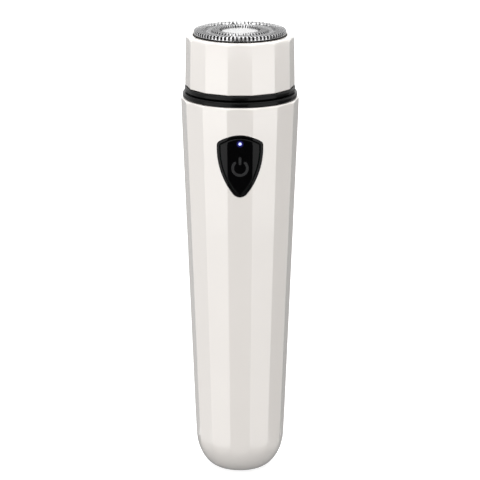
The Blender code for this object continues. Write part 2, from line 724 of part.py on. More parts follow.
def make_chassis():
    deck_radius = cavity_radius(HANDLE_HEIGHT - COLLAR_SKIRT) - SEAM - COLLAR_WALL - GAP
    chassis = rod("chassis", deck_radius, DECK_LOW, DECK_TOP, "grey_plastic", steps=ROUND_STEPS)
    front = BOARD_BACK + SOLDERED
    join(
        chassis,
        half_trough(CHASSIS_LOW, DECK_LOW + RIB / 2),
        cross_plate(RIB_LOW, RIB_TOP, front),
        cross_plate(CHASSIS_LOW + SEAM, CHASSIS_FLOOR, front),
    )
    for side in (-1, 1):
        leg_x = side * (CHARGE_BOARD_HALF_WIDTH + GAP + LEG_THICK / 2)
        leg = box(
            "leg",
            (leg_x - LEG_THICK / 2, CHARGE_BOARD_BACK - LEG_DEPTH / 2, CHARGE_BOARD_LOW),
            (leg_x + LEG_THICK / 2, CHARGE_BOARD_BACK + LEG_DEPTH / 2, CHASSIS_LOW + RIB / 2),
            "grey_plastic",
        )
        post = rod(
            "post",
            BOSS_RADIUS,
            DECK_TOP - CHASSIS_DECK / 2,
            SCREW_POST_TOP,
            "grey_plastic",
            centre=(0.0, side * SCREW_POST_REACH),
        )
        boss = rod_along_y(
            "boss", BOSS_RADIUS, front, -SHAFT_RADIUS, side * board_screw_x(), board_screw_z(), "grey_plastic"
        )
        join(chassis, leg, post, boss)
    cut(chassis, rod("hub_hole", HUB_DISC_RADIUS + GAP, DECK_LOW - RIB, DECK_TOP + RIB, "grey_plastic"))
    for side in (-1, 1):
        cut(
            chassis,
            rod(
                "post_hole",
                SCREW_RADIUS + SEAM,
                SCREW_POST_TOP - SCREW_LENGTH,
                SCREW_POST_TOP + RIB,
                "grey_plastic",
                steps=12,
                centre=(0.0, side * SCREW_POST_REACH),
            ),
            rod(
                "wire_notch",
                WIRE_NOTCH,
                RIB_LOW - RIB,
                RIB_TOP + RIB,
                "grey_plastic",
                steps=12,
                centre=(side * TROUGH_OUTER, -TROUGH_WALL - WIRE_NOTCH),
            ),
            rod(
                "motor_hole",
                SCREW_RADIUS + SEAM,
                DECK_LOW - RIB,
                DECK_TOP + RIB,
                "grey_plastic",
                steps=12,
                centre=(side * MOTOR_SCREW_REACH, 0.0),
            ),
            rod_along_y(
                "board_hole",
                SCREW_RADIUS + SEAM,
                front - RIB,
                front + BOARD_SCREW_LENGTH,
                side * board_screw_x(),
                board_screw_z(),
                "grey_plastic",
                steps=12,
            ),
        )
    return chassis


def board_screw_x():
    return BOARD_HALF_WIDTH - BOSS_RADIUS - SEAM


def board_screw_z():
    return (RIB_LOW + RIB_TOP) / 2


def upright_screw(name, x, y, seat, length):
    """A pan-head screw whose head rests at height seat and whose shank points down."""
    shank = rod(name, SCREW_RADIUS, seat - length, seat + SCREW_HEAD_HEIGHT / 2, "steel", 12, (x, y))
    head = turned(
        "head",
        [
            (SCREW_HEAD_RADIUS, seat + SOLDERED),
            (SCREW_HEAD_RADIUS, seat + SCREW_HEAD_HEIGHT * 0.6),
            (SCREW_HEAD_RADIUS * 0.75, seat + SCREW_HEAD_HEIGHT),
        ],
        "steel",
        16,
        (x, y),
        solid=True,
    )
    return join(shank, head)


def make_screws():
    for label, side in (("front", -1), ("rear", 1)):
        upright_screw(f"neck_screw_{label}", 0.0, side * SCREW_POST_REACH, SPIGOT_TOP, SCREW_LENGTH - RIB)
    for label, side in (("left", -1), ("right", 1)):
        upright_screw(
            f"motor_screw_{label}", side * MOTOR_SCREW_REACH, 0.0, DECK_TOP, CHASSIS_DECK + GAP - SOLDERED
        )
        x, z = side * board_screw_x(), board_screw_z()
        shank = rod_along_y(
            f"board_screw_{label}",
            SCREW_RADIUS,
            BOARD_FRONT - SCREW_HEAD_HEIGHT / 2,
            BOARD_FRONT + BOARD_SCREW_LENGTH,
            x,
            z,
            "steel",
            steps=12,
        )
        head = rod_along_y(
            "head",
            SCREW_HEAD_RADIUS,
            BOARD_FRONT - SCREW_HEAD_HEIGHT,
            BOARD_FRONT - SOLDERED,
            x,
            z,
            "steel",
            steps=16,
        )
        join(shank, head)


# ---------------------------------------------------------------- motor
def flat_sided(radius, half_flat, steps=12):
    """The section of a can with a flat in front and one behind."""
    angle = math.degrees(math.asin(half_flat / radius))
    return arc((0.0, 0.0), radius, -angle, angle, steps) + arc(
        (0.0, 0.0), radius, 180.0 - angle, 180.0 + angle, steps
    )


def flat_sided_rod(name, radius, half_flat, low, high, material_name):
    outline = flat_sided(radius, half_flat)
    return loft(name, [[(x, y, z) for x, y in outline] for z in (low, high)], material_name)


def make_motor():
    can = flat_sided_rod("motor_can", MOTOR_RADIUS, MOTOR_HALF_FLAT, MOTOR_LOW, MOTOR_TOP, "steel")
    inside = flat_sided_rod(
        "inside",
        MOTOR_RADIUS - MOTOR_CAN_WALL,
        MOTOR_HALF_FLAT - MOTOR_CAN_WALL,
        MOTOR_LOW - MOTOR_CAN_WALL,
        MOTOR_TOP - MOTOR_CAN_WALL,
        "steel",
    )
    boss = rod("boss", MOTOR_BOSS_RADIUS, MOTOR_TOP - MOTOR_CAN_WALL, MOTOR_TOP + MOTOR_BOSS_RISE, "steel")
    bush_radius = SHAFT_RADIUS + SOLDERED + BUSH_WALL
    join(can, boss)
    cut(can, inside)
    seat = rod("seat", bush_radius + SOLDERED, MOTOR_LOW, MOTOR_TOP + 2 * MOTOR_BOSS_RISE, "steel")
    cut(can, seat)
    turned(
        "motor_bush",
        [
            (SHAFT_RADIUS + SOLDERED, MOTOR_TOP - MOTOR_CAN_WALL),
            (bush_radius, MOTOR_TOP - MOTOR_CAN_WALL),
            (bush_radius, MOTOR_TOP + MOTOR_BOSS_RISE),
            (SHAFT_RADIUS + SOLDERED, MOTOR_TOP + MOTOR_BOSS_RISE),
        ],
        "copper",
        steps=SMALL_STEPS,
    )
    cap = flat_sided_rod(
        "motor_end_cap",
        MOTOR_RADIUS,
        MOTOR_HALF_FLAT,
        MOTOR_CAP_LOW,
        MOTOR_LOW - SOLDERED,
        "white_nylon",
    )
    cut(cap, rod("cap_bore", SHAFT_RADIUS + RUNNING, SHAFT_LOW - RUNNING, MOTOR_LOW + RIB, "white_nylon"))
    make_magnets()
    make_armature()


def make_magnets():
    """Two shells that reach round the armature as far as the can's flats allow."""
    inner = ARMATURE_RADIUS + AIR_GAP
    outer = MOTOR_RADIUS - MOTOR_CAN_WALL - SOLDERED
    edge = MOTOR_HALF_FLAT - MOTOR_CAN_WALL - MAGNET_EDGE_GAP
    half_angle = math.degrees(math.asin(edge / outer))
    low = (MOTOR_LOW + MOTOR_TOP - MAGNET_HEIGHT) / 2
    for label, middle in (("left", 180.0), ("right", 0.0)):
        start, end = middle - half_angle, middle + half_angle
        outline = arc((0.0, 0.0), outer, start, end, 8) + arc((0.0, 0.0), inner, end, start, 8)
        loft(
            f"motor_magnet_{label}",
            [[(x, y, z) for x, y in outline] for z in (low, low + MAGNET_HEIGHT)],
            "magnet",
        )


def make_armature():
    """Wound poles on the shaft, with the commutator below them."""
    low = (MOTOR_LOW + MOTOR_TOP - ARMATURE_HEIGHT) / 2 + RIB / 2
    bore = SHAFT_RADIUS + SOLDERED
    outline = []
    for pole in range(POLES):
        outline += pole_outline(90.0 + 360.0 * pole / POLES)
    core = loft(
        "motor_armature",
        [[(x, y, z) for x, y in outline] for z in (low, low + ARMATURE_HEIGHT)],
        "copper",
    )
    cut(core, rod("bore", bore, low - RIB, low + ARMATURE_HEIGHT + RIB, "copper", steps=16))
    commutator_low = low - COMMUTATOR_HEIGHT - GAP
    turned(
        "motor_commutator",
        [
            (bore, commutator_low),
            (COMMUTATOR_RADIUS, commutator_low),
            (COMMUTATOR_RADIUS, commutator_low + COMMUTATOR_HEIGHT),
            (bore, commutator_low + COMMUTATOR_HEIGHT),
        ],
        "copper",
        steps=16,
    )
    make_brushes(commutator_low)


def pole_outline(middle):
    """One T-shaped pole of the armature's section, pointing to an angle in degrees."""
    turn = Matrix.Rotation(math.radians(middle), 2)
    under = ARMATURE_RADIUS - POLE_SHOE
    shoe = arc((0.0, 0.0), ARMATURE_RADIUS, middle - POLE_ANGLE / 2, middle + POLE_ANGLE / 2, 6)
    left = [tuple(turn @ Vector((reach, -POLE_HALF_WEB))) for reach in (POLE_NECK, under)]
    right = [tuple(turn @ Vector((reach, POLE_HALF_WEB))) for reach in (under, POLE_NECK)]
    return [*left, *shoe, *right]


def make_brushes(commutator_low):
    """The two brushes either side of the commutator, and the terminals under the end cap."""
    inner = COMMUTATOR_RADIUS + SOLDERED
    brush_low = commutator_low + GAP
    brush_top = commutator_low + COMMUTATOR_HEIGHT - GAP
    terminal_top = MOTOR_CAP_LOW - SOLDERED
    for label, side in (("left", -1), ("right", 1)):
        low_x, high_x = sorted((side * inner, side * (inner + BRUSH_LENGTH)))
        box(
            f"motor_brush_{label}",
            (low_x, -BRUSH_HALF_WIDTH, brush_low),
            (high_x, BRUSH_HALF_WIDTH, brush_top),
            "nickel",
        )
        middle = side * TERMINAL_X
        box(
            f"motor_terminal_{label}",
            (middle - TERMINAL_HALF_WIDTH, -TERMINAL_HALF_THICK, terminal_top - TERMINAL_LENGTH),
            (middle + TERMINAL_HALF_WIDTH, TERMINAL_HALF_THICK, terminal_top),
            "nickel",
        )


# ---------------------------------------------------------------- drive line
def hexagon(radius, z):
    return circle(radius, z, 6)


def make_drive_line():
    rod("motor_shaft", SHAFT_RADIUS, SHAFT_LOW, SHAFT_TOP, "bright_steel", steps=16)
    bore = SHAFT_RADIUS + SOLDERED
    hub = rod("spindle_hub", HUB_DISC_RADIUS, HUB_LOW, HUB_TOP, "white_nylon")
    join(hub, loft("post", [hexagon(POST_RADIUS, z) for z in (HUB_LOW + SEAM, POST_TOP)], "white_nylon"))
    cut(hub, rod("bore", bore, HUB_LOW - RIB, SHAFT_TOP + GAP, "white_nylon", steps=16))
    spindle = rod("drive_spindle", SPINDLE_RADIUS, SPINDLE_LOW, SPINDLE_SHOULDER, "white_nylon", steps=24)
    tip = [
        hexagon(SPINDLE_TIP_RADIUS, SPINDLE_SHOULDER - RIB),
        hexagon(SPINDLE_TIP_RADIUS, SPINDLE_TOP - SPINDLE_TIP_TAPER),
        hexagon(SPINDLE_TIP_RADIUS - SPINDLE_TIP_TAPER, SPINDLE_TOP),
    ]
    join(spindle, loft("tip", tip, "white_nylon"))
    well_top = POST_TOP + FLOAT_TRAVEL + GAP
    cut(
        spindle,
        loft(
            "well",
            [hexagon(POST_RADIUS + RUNNING, z) for z in (SPINDLE_LOW - RIB, well_top)],
            "white_nylon",
        ),
    )
    make_spring()


def make_spring():
    """A round-wire compression spring between the hub's disc and the spindle's lower end."""
    coil_radius = SPINDLE_RADIUS - SPRING_WIRE - SEAM
    low = HUB_TOP + GAP + SPRING_WIRE
    high = SPINDLE_LOW - GAP - SPRING_WIRE
    total = SPRING_TURNS * SPRING_STEPS
    rings = []
    for i in range(total + 1):
        angle = math.tau * i / SPRING_STEPS
        z = low + (high - low) * i / total
        ring = []
        for k in range(SPRING_SIDES):
            around = math.tau * k / SPRING_SIDES
            radius = coil_radius + SPRING_WIRE * math.cos(around)
            rise = SPRING_WIRE * math.sin(around)
            ring.append((radius * math.cos(angle), radius * math.sin(angle), z + rise))
        rings.append(ring)
    return loft("spindle_spring", rings, "bright_steel")


# ---------------------------------------------------------------- battery, boards and wiring
def make_battery():
    shoulder = BATTERY_TOP - NUB_RISE
    turned(
        "battery_cell",
        [
            (BATTERY_RADIUS - CELL_BEVEL, BATTERY_LOW),
            (BATTERY_RADIUS, BATTERY_LOW + CELL_BEVEL),
            (BATTERY_RADIUS, shoulder - CELL_BEVEL),
            (BATTERY_RADIUS - CELL_BEVEL, shoulder),
            (NUB_RADIUS, shoulder),
            (NUB_RADIUS, BATTERY_TOP),
        ],
        "battery_sleeve",
        steps=24,
        solid=True,
    )
    for label, z in (("negative", BATTERY_LOW - GAP - TAB_THICK), ("positive", BATTERY_TOP + GAP)):
        box(
            f"battery_tab_{label}",
            (-TAB_HALF_WIDTH, -BATTERY_RADIUS, z),
            (TAB_HALF_WIDTH, TAB_REACH_BACK, z + TAB_THICK),
            "nickel",
        )


def make_control_board():
    board = box(
        "control_board",
        (-BOARD_HALF_WIDTH, BOARD_FRONT, BOARD_LOW),
        (BOARD_HALF_WIDTH, BOARD_BACK, BOARD_TOP),
        "board_green",
    )
    for side in (-1, 1):
        hole = rod_along_y(
            "hole",
            SCREW_RADIUS + SEAM,
            BOARD_FRONT - RIB,
            BOARD_BACK + RIB,
            side * board_screw_x(),
            board_screw_z(),
            "board_green",
            steps=12,
        )
        cut(board, hole)
    half = SWITCH_SIDE / 2
    front = BOARD_FRONT - SOLDERED
    switch = box(
        "power_switch",
        (-half, SWITCH_FRONT, ICON_HEIGHT - half),
        (half, front, ICON_HEIGHT + half),
        "black_matte",
    )
    well = SWITCH_FRONT + PLUNGER_WELL
    hole_radius = PLUNGER_RADIUS + SEAM
    cut(switch, rod_along_y("hole", hole_radius, SWITCH_FRONT - RIB, well, 0.0, ICON_HEIGHT, "black_matte"))
    plunger_back = well - BUTTON_TRAVEL - SOLDERED
    rod_along_y("switch_plunger", PLUNGER_RADIUS, PLUNGER_FRONT, plunger_back, 0.0, ICON_HEIGHT, "white_nylon")
    box(
        "status_led",
        (-LED_HALF_WIDTH, front - LED_HEIGHT, LENS_HEIGHT - LED_HALF_LENGTH),
        (LED_HALF_WIDTH, front, LENS_HEIGHT + LED_HALF_LENGTH),
        "lens",
    )
    chip_z = RIB_LOW - CHIP_DROP
    half_chip = CHIP_SIDE / 2
    box(
        "charge_chip",
        (-half_chip, front - CHIP_HEIGHT, chip_z - half_chip),
        (half_chip, front, chip_z + half_chip),
        "magnet",
    )
    can_z = chip_z - CAPACITOR_DROP
    can_front = front - CAPACITOR_HEIGHT
    rod_along_y("board_capacitor", CAPACITOR_RADIUS, can_front, front, 0.0, can_z, "grey_plastic")


def make_charging_port():
    cavity_back = SOCKET_BACK + SOCKET_BACK_WALL
    outer = stadium(SOCKET_LENGTH, SOCKET_WIDTH, PORT_HEIGHT)
    inner = stadium(SOCKET_LENGTH - 2 * SOCKET_SHEET, SOCKET_WIDTH - 2 * SOCKET_SHEET, PORT_HEIGHT)
    socket = prism_along_y("usb_socket", outer, SOCKET_BACK, SOCKET_MOUTH, "bright_steel")
    cut(socket, prism_along_y("inside", inner, cavity_back, SOCKET_MOUTH + SOCKET_BACK_WALL, "bright_steel"))
    half = TONGUE_THICK / 2
    box(
        "usb_tongue",
        (-half, cavity_back + SOLDERED, PORT_HEIGHT - TONGUE_LENGTH / 2),
        (half, SOCKET_MOUTH - PLUG_REACH, PORT_HEIGHT + TONGUE_LENGTH / 2),
        "black_matte",
    )
    box(
        "charge_board",
        (-CHARGE_BOARD_HALF_WIDTH, CHARGE_BOARD_BACK, CHARGE_BOARD_LOW),
        (CHARGE_BOARD_HALF_WIDTH, CHARGE_BOARD_FRONT, CHARGE_BOARD_TOP),
        "board_green",
    )
    cover = prism_along_y(
        "port_cover",
        stadium(PORT_RECESS_LENGTH - 2 * RUNNING, PORT_RECESS_WIDTH - 2 * RUNNING, PORT_HEIGHT),
        PORT_FLOOR + SEAM,
        2 * facet_distance(PORT_HEIGHT),
        "silicone_white",
    )
    keep_in_form(cover, 0.0)
    plug = prism_along_y(
        "plug",
        stadium(
            SOCKET_LENGTH - 2 * SOCKET_SHEET - 3 * RUNNING,
            SOCKET_WIDTH - 2 * SOCKET_SHEET - 3 * RUNNING,
            PORT_HEIGHT,
        ),
        PORT_FLOOR - PLUG_REACH,
        PORT_FLOOR + 2 * SEAM,
        "silicone_white",
    )
    join(cover, plug)


def wire(name, points, material_name):
    """A soft insulated lead along a smooth curve through its points."""
    curve = bpy.data.curves.new(name, "CURVE")
    curve.dimensions = "3D"
    curve.bevel_depth = WIRE_RADIUS
    curve.bevel_resolution = 1
    curve.use_fill_caps = True
    smooth = smooth_route([Vector(p) * MM for p in points], 2)
    spline = curve.splines.new("POLY")
    spline.points.add(len(smooth) - 1)
    for target, point in zip(spline.points, smooth):
        target.co = (*point, 1.0)
    obj = bpy.data.objects.new(name, curve)
    bpy.context.scene.collection.objects.link(obj)
    curve.materials.append(material(material_name))
    return obj


def smooth_route(points, steps):
    """Catmull-Rom points through a route."""
    padded = [points[0] * 2 - points[1], *points, points[-1] * 2 - points[-2]]
    found = []
    for a, b, c, d in zip(padded, padded[1:], padded[2:], padded[3:]):
        for i in range(steps):
            t = i / steps
            square = (2 * a - 5 * b + 4 * c - d) * t**2
            cube = (3 * b - a - 3 * c + d) * t**3
            found.append(0.5 * (2 * b + (c - a) * t + square + cube))
    return [*found, points[-1]]


def make_wires():
    """Leads from the motor, the battery and the charging board to the control board's lower edge."""
    board_y = (BOARD_FRONT + BOARD_BACK) / 2 / MM
    board_low = BOARD_LOW / MM
    terminal_x = TERMINAL_X / MM
    terminal_z = (MOTOR_CAP_LOW - SOLDERED - TERMINAL_LENGTH - GAP) / MM
    lane = (TROUGH_INNER + 0.9 * MM) / MM
    cell_low, cell_top = BATTERY_LOW / MM, BATTERY_TOP / MM
    for label, side, shade in (("black", -1, "wire_black"), ("red", 1, "wire_red")):
        wire(
            f"motor_lead_{label}",
            [
                (side * (terminal_x + 0.4), -1.2, terminal_z + 1.0),
                (side * (lane - 0.9), -2.4, terminal_z + 0.2),
                (side * (lane - 0.6), -3.0, terminal_z - 4.0),
                (side * (lane - 0.9), -3.6, cell_top - 12.0),
                (side * 8.8, -5.6, cell_top - 22.0),
                (side * 6.0, board_y + 1.9, board_low + 4.0),
            ],
            shade,
        )
        wire(
            f"charge_lead_{label}",
            [
                (side * 2.6, CHARGE_BOARD_BACK / MM - 1.0, CHARGE_BOARD_TOP / MM - 3.0),
                (side * 2.9, CHARGE_BOARD_BACK / MM - 3.2, CHARGE_BOARD_TOP / MM - 2.0),
                (side * 3.4, -8.2, CHASSIS_LOW / MM - 3.0),
                (side * 3.4, -9.9, CHASSIS_LOW / MM + 4.0),
                (side * 3.4, board_y, (cell_low + board_low) / 2),
                (side * 3.4, board_y, board_low - 0.9),
            ],
            shade,
        )
    wire(
        "battery_lead_black",
        [
            (0.0, -7.8, cell_low - 0.45),
            (0.0, -9.2, cell_low + 1.6),
            (0.0, -9.3, cell_low + 8.0),
            (0.0, board_y, board_low - 6.0),
            (0.0, board_y, board_low - 0.9),
        ],
        "wire_black",
    )
    wire(
        "battery_lead_red",
        [
            (2.75, -6.6, cell_top + 0.2),
            (4.4, -7.4, cell_top - 0.6),
            (5.2, -7.4, cell_top - 4.5),
            (BOARD_HALF_WIDTH / MM - 3.4, board_y + 1.9, cell_top - 12.0),
        ],
        "wire_red",
    )


# ---------------------------------------------------------------- power button
def shield_frame(name, outer_inset, inner_inset, front, back, material_name):
    frame = prism_along_y(name, shield_outline(outer_inset), front, back, material_name)
    inner = prism_along_y("inner", shield_outline(inner_inset), front - RIB, back + RIB, material_name)
    return cut(frame, inner)


def make_button():
    far_front = -2 * BODY_TOP_RADIUS
    opening = SEAM + BEZEL_WIDTH
    bezel = shield_frame("button_bezel", SEAM, opening, far_front, BEZEL_BACK, "black_gloss")
    keep_in_form(bezel, BEZEL_PROUD)
    flange_front = BUTTON_FLANGE_FRONT + RUNNING
    outline = shield_outline(opening + RUNNING)
    button = prism_along_y("power_button", outline, far_front, flange_front, "black_gloss")
    keep_in_form(button, BUTTON_PROUD)
    flange = prism_along_y(
        "flange", shield_outline(opening - 2 * RUNNING), BUTTON_FLANGE_FRONT, BUTTON_BACK, "black_gloss"
    )
    stem_back = PLUNGER_FRONT - SOLDERED
    stem = rod_along_y("stem", STEM_RADIUS, flange_front, stem_back, 0.0, ICON_HEIGHT, "black_gloss")
    join(button, flange, stem)
    front = -facet_distance(LENS_HEIGHT) - BUTTON_PROUD
    hole_radius, hole_back = LENS_RADIUS + SEAM, BUTTON_BACK + RIB
    cut(button, rod_along_y("hole", hole_radius, far_front, hole_back, 0.0, LENS_HEIGHT, "black_gloss", 16))
    rod_along_y("status_lens", LENS_RADIUS, front, BUTTON_BACK, 0.0, LENS_HEIGHT, "lens", steps=12)
    shield_frame(
        "button_gasket",
        -BEZEL_WIDTH,
        opening - 3 * RUNNING,
        BEZEL_BACK + SEAM,
        BEZEL_BACK + SEAM + GASKET_THICK,
        "rubber",
    )


# ---------------------------------------------------------------- head
def head_radius(z):
    return HEAD_LOW_RADIUS + (HEAD_TOP_RADIUS - HEAD_LOW_RADIUS) * (z - HEAD_LOW) / HEAD_HEIGHT


def make_head_shell():
    rings = []
    for z, inward in ((HEAD_LOW, HEAD_LOW_EASE), (HEAD_LOW + HEAD_LOW_EASE, 0.0)):
        rings.append(facet_section(head_radius(z), z, head_radius(z) - inward))
    for angle in (0, 30, 60, 90):
        z = HEAD_TOP - HEAD_FILLET * (1.0 - math.sin(math.radians(angle)))
        limit = fillet_limit(z, HEAD_TOP, head_radius(z), HEAD_FILLET)
        rings.append(facet_section(head_radius(z), z, limit))
    rings += [
        circle(HEAD_OPENING, HEAD_TOP),
        circle(HEAD_OPENING, HEAD_TOP - HEAD_LIP),
        facet_section(HEAD_TOP_RADIUS, HEAD_TOP - HEAD_LIP, HEAD_TOP_RADIUS, -HEAD_WALL),
        facet_section(HEAD_TOP_RADIUS, HEAD_LOW, HEAD_TOP_RADIUS, -HEAD_WALL),
    ]
    return loft("head_shell", rings, "white_gloss", looped=True)


def make_head_base():
    """The upper black ring and the skirt that grips the neck and carries the blade retainer."""
    ring_radius = HEAD_LOW_RADIUS + HEAD_RING_STEP
    profile = [
        (SKIRT_INNER, HEAD_RING_LOW),
        *rounded_step(ring_radius, HEAD_RING_LOW, HEAD_RING_TOP, RING_ROUND),
        (SKIRT_OUTER, HEAD_RING_TOP),
        (SKIRT_OUTER, SKIRT_TOP),
        (SKIRT_INNER, SKIRT_TOP),
    ]
    base = turned("head_base", profile, "black_matte")
    slot_angle = TAB_ANGLE + TWIST_ANGLE + 2 * TAB_PLAY
    for tab in range(RETAINER_TABS):
        start = tab * 360.0 / RETAINER_TABS - TAB_ANGLE / 2 - TAB_PLAY
        cut(
            base,
            ring_sector(
                "slot",
                SKIRT_INNER - RUNNING,
                SKIRT_OUTER + RUNNING,
                start,
                start + slot_angle,
                RETAINER_LOW - RUNNING,
                RETAINER_TOP + RUNNING,
                "black_matte",
            ),
            ring_sector(
                "way_in",
                SKIRT_INNER - RUNNING,
                TAB_REACH + SEAM,
                start + TWIST_ANGLE,
                start + slot_angle - TAB_PLAY / 4,
                HEAD_RING_LOW - RUNNING,
                RETAINER_TOP,
                "black_matte",
            ),
        )
    return base


def ring_sector(name, inner, outer, start, end, low, high, material_name, steps=5):
    outline = arc((0.0, 0.0), outer, start, end, steps) + arc((0.0, 0.0), inner, end, start, steps)
    return loft(name, [[(x, y, z) for x, y in outline] for z in (low, high)], material_name)


def make_retainer():
    """The spoked plate that turns in the skirt's slots and keeps the cutter in the head."""
    outer = SKIRT_INNER - RUNNING
    low, high = RETAINER_LOW, RETAINER_TOP
    plate = turned(
        "blade_retainer",
        [(outer - RETAINER_RING, low), (outer, low), (outer, high), (outer - RETAINER_RING, high)],
        "black_matte",
    )
    hub_outer = RETAINER_BORE + RETAINER_HUB_WALL
    grip_low = RETAINER_LOW - RETAINER_RISE + GAP
    hub = turned(
        "hub",
        [(RETAINER_BORE, grip_low), (hub_outer, grip_low), (hub_outer, high), (RETAINER_BORE, high)],
        "black_matte",
        steps=24,
    )
    join(plate, hub)
    for tab in range(RETAINER_TABS):
        middle = tab * 360.0 / RETAINER_TABS
        half = math.degrees(SPOKE_HALF_WIDTH / outer)
        spoke_outline = [
            polar(hub_outer - SEAM * 3, middle - 3 * half),
            polar(outer - RETAINER_RING / 2, middle - half),
            polar(outer - RETAINER_RING / 2, middle + half),
            polar(hub_outer - SEAM * 3, middle + 3 * half),
        ]
        rings = [[(x, y, z) for x, y in spoke_outline] for z in (low, high - SEAM)]
        spoke = loft("spoke", rings, "black_matte")
        tab_solid = ring_sector(
            "tab",
            outer - RETAINER_RING / 2,
            TAB_REACH,
            middle - TAB_ANGLE / 2,
            middle + TAB_ANGLE / 2,
            low + SEAM / 2,
            high - SEAM / 2,
            "black_matte",
            steps=3,
        )
        join(plate, spoke, tab_solid)
    return plate


def polar(radius, angle):
    return (radius * math.cos(math.radians(angle)), radius * math.sin(math.radians(angle)))


def make_foil_frame():
    inner = FRAME_RADIUS - FRAME_WALL
    flange_radius = HEAD_INNER - RUNNING
    flange_high = HEAD_TOP - HEAD_LIP - SEAM
    flange_low = flange_high - FRAME_FLANGE
    turned(
        "foil_frame",
        [
            (inner, FRAME_LOW),
            (FRAME_RADIUS, FRAME_LOW),
            (FRAME_RADIUS, flange_low),
            (flange_radius, flange_low),
            (flange_radius, flange_high),
            (FRAME_RADIUS, flange_high),
            (FRAME_RADIUS, FRAME_TOP),
            (inner, FRAME_TOP),
        ],
        "black_matte",
    )


def offset_path(path, distance):
    """A polyline moved sideways by distance, to the right of its direction, with mitred corners."""
    moved = []
    for i, point in enumerate(path):
        before = path[max(i - 1, 0)]
        after = path[min(i + 1, len(path) - 1)]
        directions = [
            (Vector(b) - Vector(a)).normalized() for a, b in ((before, point), (point, after)) if a != b
        ]
        normals = [Vector((d.y, -d.x)) for d in directions]
        middle = sum(normals, Vector((0.0, 0.0))).normalized()
        moved.append(tuple(Vector(point) + middle * distance / middle.dot(normals[0])))
    return moved


def make_foil():
    """The slotted cap: a recessed middle, two raised shaving tracks and the groove between them."""
    low = FOIL_TOP - GROOVE_DEPTH
    path = [
        (FOIL_CENTRE_RADIUS, low),
        (HUB_RECESS_RADIUS, low),
        (HUB_RECESS_RADIUS + FOIL_DRAFT, FOIL_TOP),
        (GROOVE_INNER - FOIL_DRAFT, FOIL_TOP),
        (GROOVE_INNER, low),
        (GROOVE_OUTER, low),
        (GROOVE_OUTER + FOIL_DRAFT, FOIL_TOP),
        (FOIL_RADIUS - FOIL_ROUND, FOIL_TOP),
        (FOIL_RADIUS, FOIL_TOP - FOIL_ROUND),
        (FOIL_RADIUS, FOIL_LOW),
    ]
    slotted = {2, 6, 7}
    under = offset_path(path, FOIL_SHEET)
    bm = bmesh.new()
    pitch = math.tau / SLOT_COUNT
    angles = [k * pitch + part for k in range(SLOT_COUNT) for part in (0.0, pitch * SLOT_SHARE)]

    def ring_of(points):
        return [[bm.verts.new((r * math.cos(a), r * math.sin(a), z)) for a in angles] for r, z in points]

    top, bottom = ring_of(path), ring_of(under)
    columns = len(angles)
    for j in range(len(path) - 1):
        for i in range(columns):
            k = (i + 1) % columns
            if j in slotted and i % 2 == 0:
                bm.faces.new((top[j][i], top[j + 1][i], bottom[j + 1][i], bottom[j][i]))
                bm.faces.new((top[j][k], bottom[j][k], bottom[j + 1][k], top[j + 1][k]))
                if j - 1 not in slotted:
                    bm.faces.new((top[j][i], bottom[j][i], bottom[j][k], top[j][k]))
                if j + 1 not in slotted:
                    bm.faces.new((top[j + 1][i], top[j + 1][k], bottom[j + 1][k], bottom[j + 1][i]))
                continue
            bm.faces.new((top[j][i], top[j][k], top[j + 1][k], top[j + 1][i]))
            bm.faces.new((bottom[j][i], bottom[j + 1][i], bottom[j + 1][k], bottom[j][k]))
    for i in range(columns):
        k = (i + 1) % columns
        bm.faces.new((top[-1][i], top[-1][k], bottom[-1][k], bottom[-1][i]))
    bm.faces.new(top[0])
    bm.faces.new(bottom[0])
    finish("shaving_foil", bm, "steel")
    cap_radius = HUB_RECESS_RADIUS - RUNNING
    cap_low = low + SEAM
    turned(
        "foil_centre_cap",
        [
            (cap_radius, cap_low),
            (cap_radius, cap_low + CENTRE_CAP_THICK / 2),
            (cap_radius - CENTRE_CAP_EDGE, cap_low + CENTRE_CAP_THICK),
            (CENTRE_CAP_DIMPLE, cap_low + CENTRE_CAP_THICK + SOLDERED),
        ],
        "bright_steel",
        steps=32,
        solid=True,
    )


def make_cutter():
    wall = FOIL_SHEET + FOIL_DRAFT + BLADE_MARGIN
    outer_track = (GROOVE_OUTER + wall, FOIL_RADIUS - FOIL_ROUND - FOIL_SHEET)
    inner_track = (HUB_RECESS_RADIUS + wall, GROOVE_INNER - wall)
    base_inner, base_outer = inner_track[0] - BLADE_MARGIN, outer_track[1]
    blades = turned(
        "cutter_blades",
        [
            (base_inner, BLADE_BASE_LOW),
            (base_outer, BLADE_BASE_LOW),
            (base_outer, BLADE_LOW),
            (base_inner, BLADE_LOW),
        ],
        "bright_steel",
        steps=36,
    )
    for count, (inner, outer) in ((OUTER_BLADES, outer_track), (INNER_BLADES, inner_track)):
        for i in range(count):
            join(blades, blade(inner, outer, 360.0 * i / count))
    disc_low = CARRIER_TOP - CARRIER_DISC
    carrier = rod("cutter_carrier", base_outer - BLADE_MARGIN, disc_low, CARRIER_TOP, "white_nylon", 36)
    hub = rod("hub", CARRIER_HUB_RADIUS, CARRIER_LOW, CARRIER_TOP - CARRIER_DISC / 2, "white_nylon", 24)
    join(carrier, hub)
    ends = (CARRIER_LOW - RIB, CARRIER_LOW + SOCKET_DEPTH)
    socket = [hexagon(SPINDLE_TIP_RADIUS + RUNNING, z) for z in ends]
    cut(carrier, loft("socket", socket, "white_nylon"))


